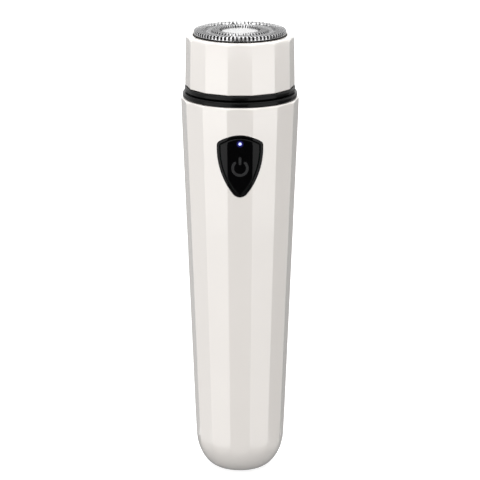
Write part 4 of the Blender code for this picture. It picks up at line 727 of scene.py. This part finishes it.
# ---- handle
def make_body_shell():
    heights = [DOME_HEIGHT * (1.0 - math.cos(a)) for a in quarter(DOME_STEPS)]
    straight_low = DOME_HEIGHT + EASE_REACH
    straight_high = HANDLE_HEIGHT - RIM_FILLET - EASE_REACH
    heights += spread(DOME_HEIGHT, straight_low, 4) + [straight_low]
    heights += spread(straight_low, straight_high, 8) + [straight_high]
    heights += spread(straight_high, HANDLE_HEIGHT - RIM_FILLET, 4)
    rim = fillet_heights(HANDLE_HEIGHT, RIM_FILLET)
    outer = []
    for z in heights + rim:
        limit = min(dome_limit(z), fillet_limit(z, HANDLE_HEIGHT, body_radius(z), RIM_FILLET))
        if straight_low <= z <= straight_high:
            limit = None
        outer.append(facet_ring(body_radius(z), z, limit))
    inner = [facet_ring(body_radius(z), z, None, -SHELL_WALL) for z in (HANDLE_HEIGHT, DOME_HEIGHT)]
    for angle in (20, 40, 60, 75, 90):
        z = DOME_HEIGHT - (DOME_HEIGHT - SHELL_WALL) * math.sin(math.radians(angle))
        reach = body_radius(DOME_HEIGHT) - SHELL_WALL - FOOT_RADIUS
        limit = FOOT_RADIUS + reach * math.cos(math.radians(angle))
        inner.append(facet_ring(body_radius(z), z, limit, -SHELL_WALL))
    shell = loft("handle_shell", outer + inner)
    far = 2 * BODY_TOP_RADIUS
    wall = body_radius(PORT_HEIGHT) * COS_HALF_FACET
    combine(shell, prism_along_y("window", shield(0.0), -far, 0.0), "DIFFERENCE")
    recess = stadium(PORT_RECESS_LENGTH, PORT_RECESS_WIDTH, PORT_HEIGHT)
    combine(shell, prism_along_y("recess", recess, wall - PORT_RECESS_DEPTH, far), "DIFFERENCE")
    port = stadium(SOCKET_LENGTH + 2 * GAP, SOCKET_WIDTH + 2 * GAP, PORT_HEIGHT)
    combine(shell, prism_along_y("port", port, 0.0, far), "DIFFERENCE")
    dress(shell, surfaces["white_gloss"], "handle", "body_shell")


def make_neck():
    """The lower black ring with the spigot that the head slides over, its O-ring, seal and screws."""
    skirt_outer = body_radius(COLLAR_LOW) * COS_HALF_FACET - SHELL_WALL - SEAM
    skirt_inner = skirt_outer - COLLAR_WALL
    seal = 5.0 * MM
    groove_low = O_RING_HEIGHT - O_RING_SECTION / 2 - SEAM
    groove_high = O_RING_HEIGHT + O_RING_SECTION / 2 + SEAM
    groove_floor = SPIGOT_RADIUS - O_RING_SECTION
    small = 0.15 * MM
    corners = [
        (skirt_inner, COLLAR_LOW, small),
        (skirt_outer, COLLAR_LOW, small),
        (skirt_outer, FLANGE_LOW, 0.0),
        (FLANGE_RADIUS, FLANGE_LOW, RING_ROUND),
        (FLANGE_RADIUS, FLANGE_TOP, RING_ROUND),
        (SPIGOT_RADIUS, FLANGE_TOP, small),
        (SPIGOT_RADIUS, groove_low, small),
        (groove_floor, groove_low, small),
        (groove_floor, groove_high, small),
        (SPIGOT_RADIUS, groove_high, small),
        (SPIGOT_RADIUS, SPIGOT_TOP, 2 * small),
        (seal + SEAM, SPIGOT_TOP, small),
        (seal + SEAM, SPIGOT_TOP - DECK_WALL, 0.0),
        (SPIGOT_RADIUS - SPIGOT_WALL, SPIGOT_TOP - DECK_WALL, 0.0),
        (SPIGOT_RADIUS - SPIGOT_WALL, HANDLE_HEIGHT - COLLAR_WALL, 0.0),
        (skirt_inner, HANDLE_HEIGHT - COLLAR_WALL, 0.0),
    ]
    profile = eased(corners, steps=5)
    dress(turned("neck_ring", profile), surfaces["black_matte"], "handle", "neck_collar")
    middle = (high("neck_o_ring", 0) - O_RING_SECTION / 2, O_RING_HEIGHT)
    ring = full_circle(middle, O_RING_SECTION / 2, 24)
    dress(turned("neck_seal_ring", ring), surfaces["rubber"], "handle", "neck_o_ring")
    bore = high("drive_spindle", 0) + SEAM
    corners = [
        (seal, SPIGOT_TOP - DECK_WALL, small),
        (seal, SPIGOT_TOP, small),
        (seal - 0.5 * MM, SPIGOT_TOP + small, small),
        (bore + SEAM, SPIGOT_TOP - small, small),
        (bore, SPIGOT_TOP - DECK_WALL / 2, 0.3 * MM),
        (bore + SEAM, SPIGOT_TOP - DECK_WALL, small),
    ]
    dress(turned("shaft_seal", eased(corners), 96), surfaces["rubber"], "handle", "spindle_seal")
    for label in ("front", "rear"):
        make_screw(f"neck_screw_{label}")


def make_screw(node):
    """A pan-head cross-recess screw, upright, in the place of its CAD node."""
    lowest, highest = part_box(node)
    centre = ((lowest.x + highest.x) / 2, (lowest.y + highest.y) / 2)
    radius = (highest.x - lowest.x) / 2
    head_low = SPIGOT_TOP + 0.1 * MM
    shank = 0.9 * MM
    tip = lowest.z + 0.4 * MM
    shoulder = head_low + 0.35 * MM
    profile = [(0.05 * MM, lowest.z), (shank * 0.7, lowest.z), (shank, tip), (shank, head_low)]
    profile += eased(
        [(radius, head_low, 0.1 * MM), (radius, shoulder, 0.3 * MM), (radius * 0.6, highest.z, 0.5 * MM)]
    )
    profile.append((0.05 * MM, highest.z))
    screw = turned(node + "_detail", profile, 48, centre, solid=True)
    for half_x, half_y in ((1.0 * MM, 0.28 * MM), (0.28 * MM, 1.0 * MM)):
        corners = [shift(centre, (half_x * i, half_y * j)) for i, j in ((-1, -1), (1, -1), (1, 1), (-1, 1))]
        depth = 0.5 * MM
        combine(screw, prism_upwards("recess", corners, highest.z - depth, highest.z + depth), "DIFFERENCE")
    dress(screw, surfaces["steel"], "handle", node)


# ---- power button
def make_bezel():
    """The shield's frame: rounded over on both edges, with its face following the facets."""
    outer = [(SEAM + inset, drop) for inset, drop in edge_profile(0.12 * MM)]
    inner_edge = SEAM + BEZEL_WIDTH
    inner = [(inner_edge - inset, drop) for inset, drop in reversed(edge_profile(0.24 * MM))]
    back = low("button_bezel", 1) + 2.0 * MM
    rings = [[(x, back, z) for x, z in shield(SEAM)]]
    rings += [on_body(shield(inset), BEZEL_PROUD - drop) for inset, drop in outer + inner]
    rings.append([(x, back, z) for x, z in shield(inner_edge)])
    bezel = loft("button_frame", rings, looped=True)
    dress(bezel, surfaces["black_gloss"], "handle", "button_bezel", sharp=60.0)


def make_button():
    """The shield itself: a rim rounded over and a face of fine rows that follows the facets."""
    edge = SEAM + BEZEL_WIDTH + RUNNING
    rim = edge_profile(0.3 * MM, 5)
    back = high("power_button", 1) - 1.0 * MM
    bm = bmesh.new()
    loops = [[bm.verts.new((x, back, z)) for x, z in shield(edge)]]
    for inset, drop in rim:
        loops.append([bm.verts.new(p) for p in on_body(shield(edge + inset), BUTTON_PROUD - drop)])
    bridge(bm, loops)
    bm.faces.new(loops[0])
    fill_face(bm, loops[-1], half_shield(edge + rim[-1][0]))
    dress(new_object("shield_button", bm), surfaces["black_gloss"], "button", "power_button", sharp=60.0)


def fill_face(bm, loop, right):
    """Rows of quads across the shield, from each point of its right side to the one opposite."""
    count, columns = len(loop), FACE_COLUMNS
    rows = []
    for i in range(1, len(right) - 1):
        x, z = right[i]
        row = [loop[count - i]]
        for k in range(1, columns):
            across = -x + 2 * x * k / columns
            row.append(bm.verts.new((across, -front_of_body(across, z) - BUTTON_PROUD, z)))
        rows.append([*row, loop[i]])
    for first, second in zip(rows, rows[1:]):
        for a, b, c, d in zip(first, first[1:], second[1:], second):
            bm.faces.new((a, b, c, d))
    for tip, row in ((loop[0], rows[0]), (loop[len(right) - 1], rows[-1])):
        for a, b in zip(row, row[1:]):
            bm.faces.new((tip, a, b))


def make_icon():
    """The usual power symbol, an open ring and a bar, laid on the button."""
    half = ICON_STROKE / 2
    start, end = 90.0 + ICON_OPENING, 450.0 - ICON_OPENING
    centre = (0.0, ICON_HEIGHT)
    ring = arc(centre, ICON_RADIUS + half, start, end, 60)
    ring += arc(shift(centre, polar(ICON_RADIUS, end)), half, end, end + 180.0, 8)[1:-1]
    ring += arc(centre, ICON_RADIUS - half, end, start, 60)
    ring += arc(shift(centre, polar(ICON_RADIUS, start)), half, start + 180.0, start + 360.0, 8)[1:-1]
    bar = arc((0.0, ICON_HEIGHT + ICON_BAR_HIGH - half), half, 0.0, 180.0, 10)
    bar += arc((0.0, ICON_HEIGHT + ICON_BAR_LOW + half), half, 180.0, 360.0, 10)
    ink = icon_ink()
    for name, outline in (("icon_ring", ring), ("icon_bar", bar)):
        rings = [on_body(outline, BUTTON_PROUD + rise) for rise in (-0.1 * MM, 0.012 * MM)]
        dress(loft(name, rings), ink, "button")


def make_lens():
    """The status light's window: a short light guide with a crowned face."""
    front = front_of_body(0.0, LENS_HEIGHT) + BUTTON_PROUD
    rings = [[(x, high("status_lens", 1), z) for x, z in lens_outline(1.0)]]
    for angle in range(0, 91, 15):
        share = math.cos(math.radians(angle))
        rise = 0.08 * MM * math.sin(math.radians(angle))
        rings.append([(x, -front - rise, z) for x, z in lens_outline(max(share, 0.02))])
    dress(loft("light_window", rings), surfaces["lens"], "button", "status_lens")


def lens_outline(share):
    return full_circle((0.0, LENS_HEIGHT), LENS_RADIUS * share, 32)


# ---- charging port
def make_port_cover():
    """The silicone flap: its face follows the handle, with grip ribs and a plug into the socket."""
    wall = body_radius(PORT_HEIGHT) * COS_HALF_FACET
    floor = wall - PORT_RECESS_DEPTH + SEAM
    length, width = PORT_RECESS_LENGTH - 2 * RUNNING, PORT_RECESS_WIDTH - 2 * RUNNING
    rings = [[(x, floor, z) for x, z in stadium(length, width, PORT_HEIGHT)]]
    for inset, drop in edge_profile(0.25 * MM):
        outline = stadium(length - 2 * inset, width - 2 * inset, PORT_HEIGHT)
        rings.append([(x, front_of_body(x, z) - drop, z) for x, z in outline])
    cover = loft("port_flap", rings)
    for step in range(5):
        z = PORT_HEIGHT + (2.4 + 0.55 * step) * MM
        rib = full_circle((wall - 0.02 * MM, z), 0.16 * MM, 12)
        rows = [[(x, y, height) for y, height in rib] for x in (-1.5 * MM, 1.5 * MM)]
        combine(cover, loft("rib", rows), "UNION")
    plug_length = SOCKET_LENGTH - 0.6 * MM - 3 * RUNNING
    plug_width = SOCKET_WIDTH - 0.6 * MM - 3 * RUNNING
    tip = low("port_cover", 1)
    plug = [
        [(x, y, z) for x, z in stadium(plug_length - inset, plug_width - inset, PORT_HEIGHT)]
        for y, inset in ((tip, 0.3 * MM), (tip + 0.2 * MM, 0.0), (floor + SEAM, 0.0))
    ]
    combine(cover, loft("plug", plug), "UNION")
    dress(cover, surfaces["silicone_white"], "cover", "port_cover")


# ---- head
def make_head_shell():
    rings = []
    edge = 0.35 * MM
    for angle in quarter(ROUND_STEPS // 2):
        z = HEAD_LOW + edge * (1.0 - math.cos(angle))
        inward = edge * (1.0 - math.sin(angle))
        rings.append(facet_ring(head_radius(z), z, None, -inward))
    straight = HEAD_TOP - HEAD_FILLET - EASE_REACH
    rings += [facet_ring(head_radius(z), z) for z in [*spread(HEAD_LOW + edge, straight, 2), straight]]
    heights = spread(straight, HEAD_TOP - HEAD_FILLET, 4) + fillet_heights(HEAD_TOP, HEAD_FILLET)
    rings += [
        facet_ring(head_radius(z), z, fillet_limit(z, HEAD_TOP, head_radius(z), HEAD_FILLET)) for z in heights
    ]
    lip = 0.22 * MM
    for turn in quarter(4):
        radius, drop = HEAD_OPENING + lip * (1 - math.sin(turn)), lip * (1 - math.cos(turn))
        rings.append(round_ring(radius, HEAD_TOP - drop))
    inner_top = HEAD_TOP - HEAD_LIP
    rings += [
        round_ring(HEAD_OPENING, inner_top),
        facet_ring(HEAD_TOP_RADIUS, inner_top, None, -HEAD_WALL),
        facet_ring(HEAD_TOP_RADIUS, HEAD_LOW, None, -HEAD_WALL),
    ]
    dress(loft("head_housing", rings, looped=True), surfaces["white_gloss"], "head", "head_shell")


def make_head_base():
    """The upper black ring and its skirt, with the retainer's slots cut through."""
    small = 0.15 * MM
    corners = [
        (SKIRT_INNER, HEAD_RING_LOW, small),
        (HEAD_RING_RADIUS, HEAD_RING_LOW, RING_ROUND),
        (HEAD_RING_RADIUS, HEAD_RING_TOP, RING_ROUND),
        (SKIRT_OUTER, HEAD_RING_TOP, 0.0),
        (SKIRT_OUTER, SKIRT_TOP, small),
        (SKIRT_INNER, SKIRT_TOP, small),
    ]
    base = turned("head_ring", eased(corners, steps=5))
    inner = SKIRT_INNER - RUNNING
    way_in_depth = 0.7 * SKIRT_WALL
    for tab in range(TABS):
        start = 360.0 * tab / TABS - TAB_ANGLE / 2 - TAB_PLAY
        end = start + TAB_ANGLE + 2 * TAB_PLAY + TWIST_ANGLE
        slot = ring_sector(inner, SKIRT_OUTER + RUNNING, start, end)
        combine(base, prism_upwards("slot", slot, PLATE_LOW - RUNNING, RETAINER_TOP + RUNNING), "DIFFERENCE")
        way_in = ring_sector(inner, SKIRT_INNER + way_in_depth, start + TWIST_ANGLE, end - 0.5)
        combine(base, prism_upwards("way_in", way_in, HEAD_RING_LOW - RUNNING, RETAINER_TOP), "DIFFERENCE")
    dress(base, surfaces["black_matte"], "head", "head_base")


def ring_sector(inner, outer, start, end):
    middle = (0.0, 0.0)
    return arc(middle, outer, start, end, OUTLINE_STEPS) + arc(middle, inner, end, start, OUTLINE_STEPS)


def make_retainer():
    """The spoked plate under the cutter, with three tabs and a hub to grip."""
    outer = SKIRT_INNER - RUNNING
    middle_of_ring = outer - 1.1 * MM
    hub_inner, hub_outer = 4.9 * MM, 6.4 * MM
    spoke_root = hub_outer - 0.45 * MM
    root_angle, end_angle = 13.44, 5.6
    soft = 0.15 * MM
    plate = turned_band("cutter_retainer", outer - 2.2 * MM, outer, PLATE_LOW, RETAINER_TOP, soft, soft)
    hub = turned_band("hub", hub_inner, hub_outer, RETAINER_LOW, RETAINER_TOP, soft, 2 * soft, 96)
    combine(plate, hub, "UNION")
    for tab in range(TABS):
        middle = 360.0 * tab / TABS
        spoke = [
            polar(spoke_root, middle - root_angle),
            polar(middle_of_ring, middle - end_angle),
            polar(middle_of_ring, middle + end_angle),
            polar(spoke_root, middle + root_angle),
        ]
        combine(plate, prism_upwards("spoke", spoke, PLATE_LOW, RETAINER_TOP - SEAM), "UNION")
        reach = outer + RUNNING + SKIRT_WALL / 2
        outline = ring_sector(middle_of_ring, reach, middle - TAB_ANGLE / 2, middle + TAB_ANGLE / 2)
        combine(plate, prism_upwards("tab", outline, PLATE_LOW + SEAM / 2, RETAINER_TOP - SEAM / 2), "UNION")
    dress(plate, surfaces["black_matte"], "retainer", "blade_retainer")


def make_spring():
    """The spring under the spindle, a round wire that gives way as the foil is pressed."""
    bottom, top = low("spindle_spring"), high("spindle_spring")
    coil = high("spindle_spring", 0) - SPRING_WIRE
    turn_steps, sides = 36, 12
    total = SPRING_TURNS * turn_steps
    rings = []
    for i in range(total + 1):
        z = bottom + SPRING_WIRE + (top - bottom - 2 * SPRING_WIRE) * i / total
        ring = []
        for k in range(sides):
            turn = math.tau * k / sides
            place = polar(coil + SPRING_WIRE * math.cos(turn), 360.0 * i / turn_steps)
            ring.append((*place, z + SPRING_WIRE * math.sin(turn)))
        rings.append(ring)
    spring = dress(loft("drive_spring", rings), surfaces["bright_steel"], "rotor", "spindle_spring")
    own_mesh(spring)


def make_foil_frame():
    inner = FRAME_RADIUS - FRAME_WALL
    flange = HEAD_INSIDE - RUNNING
    flange_high = HEAD_TOP - HEAD_LIP - SEAM
    flange_low = flange_high - 1.35 * MM
    bottom, top = low("foil_frame"), high("foil_frame")
    soft = 0.12 * MM
    corners = [
        (inner, bottom, soft),
        (FRAME_RADIUS, bottom, soft),
        (FRAME_RADIUS, flange_low, 0.0),
        (flange, flange_low, soft),
        (flange, flange_high, soft),
        (FRAME_RADIUS, flange_high, 0.0),
        (FRAME_RADIUS, top, soft),
        (inner, top, soft),
    ]
    dress(turned("foil_holder", eased(corners)), surfaces["black_matte"], "foil", "foil_frame")


def foil_path():
    """(radius, height) points over the foil, from its middle out and down its side."""
    floor = FOIL_TOP - GROOVE_DEPTH
    soft = 0.2 * MM
    corners = [
        (1.0 * MM, floor, 0.0),
        (HUB_RECESS_RADIUS, floor, soft),
        (HUB_RECESS_RADIUS + FOIL_DRAFT, FOIL_TOP, soft),
        (GROOVE_INNER - FOIL_DRAFT, FOIL_TOP, soft),
        (GROOVE_INNER, floor, soft),
        (GROOVE_OUTER, floor, soft),
        (GROOVE_OUTER + FOIL_DRAFT, FOIL_TOP, soft),
        (FOIL_RADIUS, FOIL_TOP, FOIL_ROUND),
        (FOIL_RADIUS, FOIL_LOW, 0.0),
    ]
    return eased(corners, closed=False, steps=6)


def finer(path, longest):
    """The path with points added so that no step is longer than this."""
    points = [path[0]]
    for a, b in zip(path, path[1:]):
        parts = max(1, math.ceil(math.dist(a, b) / longest))
        points += [between(a, b, i / parts) for i in range(1, parts + 1)]
    return points


def slotted_band(name, path, slots, first, last):
    """A band of the foil, turned from its path, with radial slots open between two distances along it."""
    parts = (0.0, 0.18, 0.34, SLOT_SHARE, 0.75)
    open_parts = parts.index(SLOT_SHARE)
    corner = 0.12 * MM
    angles = [360.0 * (k + part) / slots for k in range(slots) for part in parts]
    bm = bmesh.new()
    rows = [[bm.verts.new((*polar(r, a), z)) for a in angles] for r, z in path]
    along = 0.0
    for j, (a, b) in enumerate(zip(path, path[1:])):
        step = math.dist(a, b)
        middle = along + step / 2
        along += step
        for i in range(len(angles)):
            part = i % len(parts)
            margin = 0.0 if part == 1 else corner
            if part < open_parts and first + margin < middle < last - margin:
                continue
            k = (i + 1) % len(angles)
            bm.faces.new((rows[j][i], rows[j][k], rows[j + 1][k], rows[j + 1][i]))
    loose = [v for v in bm.verts if not v.link_faces]
    bmesh.ops.delete(bm, geom=loose, context="VERTS")
    band = new_object(name, bm)
    sheet = band.modifiers.new("Sheet", "SOLIDIFY")
    sheet.thickness = FOIL_SHEET
    sheet.offset = -1.0
    apply_modifiers(band)
    return band


def length_to(path, test):
    """Distance along the path to its first point that passes the test."""
    along = 0.0
    for a, b in zip(path, path[1:]):
        along += math.dist(a, b)
        if test(b):
            return along
    return along


def make_foil():
    """The shaving foil: two slotted tracks, in one band each, that meet in the groove."""
    path = finer(foil_path(), 0.2 * MM)
    meeting = (GROOVE_INNER + GROOVE_OUTER) / 2
    split = next(i for i, (r, z) in enumerate(path) if r > meeting)
    inner, outer = path[: split + 1], path[split:]
    steel = foil_steel()
    inner_first = length_to(inner, lambda p: p[0] > HUB_RECESS_RADIUS + 0.03 * MM)
    inner_last = length_to(inner, lambda p: p[0] > GROOVE_INNER - 0.12 * MM)
    outer_first = length_to(outer, lambda p: p[0] > GROOVE_OUTER + 0.12 * MM)
    outer_last = length_to(outer, lambda p: p[0] > FOIL_RADIUS - FOIL_ROUND and p[1] < FOIL_LOW + 0.35 * MM)
    inner_band = slotted_band("foil_inner_track", inner, INNER_SLOTS, inner_first, inner_last)
    outer_band = slotted_band("foil_outer_track", outer, OUTER_SLOTS, outer_first, outer_last)
    dress(inner_band, steel, "foil")
    dress(outer_band, steel, "foil", "shaving_foil")


def make_centre_cap():
    """The bright disc in the foil's middle, crowned, with a rolled edge."""
    radius = high("foil_centre_cap", 0)
    bottom, top = low("foil_centre_cap"), high("foil_centre_cap")
    roll = 0.2 * MM
    profile = [(0.05 * MM, bottom), (radius - roll, bottom)]
    profile += arc((radius - roll, bottom + roll), roll, -90.0, 60.0, 8)
    edge, shoulder = profile[-1]
    crown = top - shoulder
    for angle in quarter(9)[1:-1]:
        profile.append((edge * math.cos(angle), shoulder + crown * math.sin(angle)))
    dress(turned("foil_disc", profile, solid=True), surfaces["bright_steel"], "foil", "foil_centre_cap")


# ---- carried-over pieces
def dress_cad_nodes():
    """Gives every CAD node that still shows the material of its slot."""
    slots = {node: entry["slot"] for entry in frame["record"]["materials"] for node in entry.get("nodes", [])}
    for name, obj in frame["nodes"].items():
        own = obj.data.materials[0].name.split(".")[0] if obj.data.materials else "grey_plastic"
        chosen = slots.get(name, own)
        obj.data.materials.clear()
        # The cutter blades take steel painted dark as the shade inside the head.
        look = blade_steel_painted_shade() if name == "cutter_blades" else surfaces[chosen]
        obj.data.materials.append(look.material)


# ---- studio
def floor_material():
    made = Surface("floor_paper", (0.55, 0.55, 0.55), 0.9, emission_color=GLOW, emission_strength=0.8)
    made.tint(made.noise(30.0, 3.0), (0.36, 0.36, 0.36))
    made.relief(made.noise(900.0, 3.0), 0.01 * MM)
    return made.material


def make_floor():
    bm = bmesh.new()
    bmesh.ops.create_grid(bm, x_segments=8, y_segments=8, size=6.0)
    floor = new_object("floor", bm)
    floor.location.z = CAD_LOW.z
    floor.data.materials.append(floor_material())
    floor.visible_diffuse = False


def area_light(name, place, target, size, energy):
    light = bpy.data.lights.new(name, "AREA")
    light.shape = "RECTANGLE"
    light.size, light.size_y = size
    light.energy = energy
    obj = bpy.data.objects.new(name, light)
    bpy.context.scene.collection.objects.link(obj)
    obj.location = place
    obj.rotation_euler = (Vector(target) - Vector(place)).to_track_quat("-Z", "Y").to_euler()


def card(name, corners, radiance):
    """A studio card that shows only in reflections, bright or black."""
    bm = bmesh.new()
    bm.faces.new([bm.verts.new(corner) for corner in corners])
    made = new_object(name, bm)
    paint = Surface(name, BLACK, 0.5, specular_ior_level=0.0, emission_color=GLOW, emission_strength=radiance)
    made.data.materials.append(paint.material)
    for ray in ("camera", "diffuse", "transmission", "volume_scatter", "shadow"):
        setattr(made, f"visible_{ray}", False)


def around(azimuth, reach, z):
    """The point at this azimuth in degrees, 0 in front."""
    return (*polar(reach, azimuth - 90.0), z)


def wedge(start, end, near, far, z):
    """Corners of a level wedge round the object between two azimuths."""
    return [around(*corner, z) for corner in ((start, near), (end, near), (end, far), (start, far))]


def standing(start, end, reach, bottom, top):
    """Corners of an upright card between two azimuths."""
    corners = ((start, bottom), (end, bottom), (end, top), (start, top))
    return [around(azimuth, reach, z) for azimuth, z in corners]


def make_cards():
    """Flags and reflectors just over the floor, where the upright facets see them."""
    level = CAD_LOW.z + 0.4 * MM
    card("front_flag", wedge(-17.0, 17.0, 0.03, 0.9, level), 0.0)
    zones = (
        ("near_reflector", 30.0, 74.0, 0.03, 0.27),
        ("reflector", 30.0, 74.0, 0.27, 0.42),
        ("far_reflector", 30.0, 74.0, 0.42, 0.95),
        ("flag", 80.0, 128.0, 0.03, 0.95),
        ("back_flag", 130.0, 176.0, 0.02, 0.95),
    )
    levels = (("left", -1, (1.35, 1.7, 2.2, 0.75, 0.45)), ("right", 1, (1.1, 1.45, 1.9, 0.1, 0.3)))
    for label, side, radiances in levels:
        for (zone, start, end, near, far), radiance in zip(zones, radiances):
            card(f"{label}_{zone}", wedge(start * side, end * side, near, far, level), radiance)
    card("back_reflector", standing(150.0, 210.0, 0.97, 0.05, 0.75), 1.05)
    foot = [(*point, level + 0.1 * MM) for point in full_circle((0.0, 0.0), 32.0 * MM, 24)]
    card("foot_flag", foot, 0.3)


def make_lights():
    middle = (0.0, 0.0, 0.07)
    area_light("left_softbox", (-0.42, -0.66, 0.52), middle, (0.6, 0.8), 2.15)
    area_light("right_softbox", (0.7, -0.5, 0.45), middle, (0.45, 0.8), 0.45)
    area_light("top_softbox", (0.0, 0.4, 1.5), (0.0, 0.25, 0.0), (2.0, 2.0), 24.0)
    world = bpy.data.worlds.new("studio")
    world.use_nodes = True
    background = world.node_tree.nodes["Background"]
    background.inputs["Color"].default_value = GLOW
    nodes, links = world.node_tree.nodes, world.node_tree.links
    height = nodes.new("ShaderNodeSeparateXYZ")
    links.new(nodes.new("ShaderNodeTexCoord").outputs["Generated"], height.inputs[0])
    strengths = []
    for start, end, below, above in ((-0.12, 0.0, 2.0, 0.82), (-0.5, -0.14, 0.0, 1.0)):
        band = nodes.new("ShaderNodeMapRange")
        set_range(band, start, end, below, above)
        links.new(height.outputs["Z"], band.inputs["Value"])
        strengths.append(band.outputs["Result"])
    both = nodes.new("ShaderNodeMath")
    both.operation = "MULTIPLY"
    for socket, strength in zip(both.inputs, strengths):
        links.new(strength, socket)
    links.new(both.outputs[0], background.inputs["Strength"])
    bpy.context.scene.world = world


def make_camera():
    """A long lens from the front, looking down a little."""
    elevation = math.radians(15.7)
    distance = 0.74
    target = Vector((0.0, 0.0, 0.07574))
    camera = bpy.data.cameras.new("camera")
    camera.lens = 173.7
    camera.sensor_width = 36.0
    obj = bpy.data.objects.new("camera", camera)
    bpy.context.scene.collection.objects.link(obj)
    obj.location = target + distance * Vector((0.0, -math.cos(elevation), math.sin(elevation)))
    obj.rotation_euler = (target - obj.location).to_track_quat("-Z", "Y").to_euler()
    bpy.context.scene.camera = obj


light_spill(surfaces["black_gloss"])
dress_cad_nodes()
make_body_shell()
make_neck()
make_bezel()
make_button()
make_icon()
make_lens()
make_port_cover()
make_head_shell()
make_head_base()
make_retainer()
make_spring()
make_foil_frame()
make_foil()
make_centre_cap()
make_floor()
make_cards()
make_lights()
make_camera()
bpy.context.scene.view_settings.view_transform = "Standard"
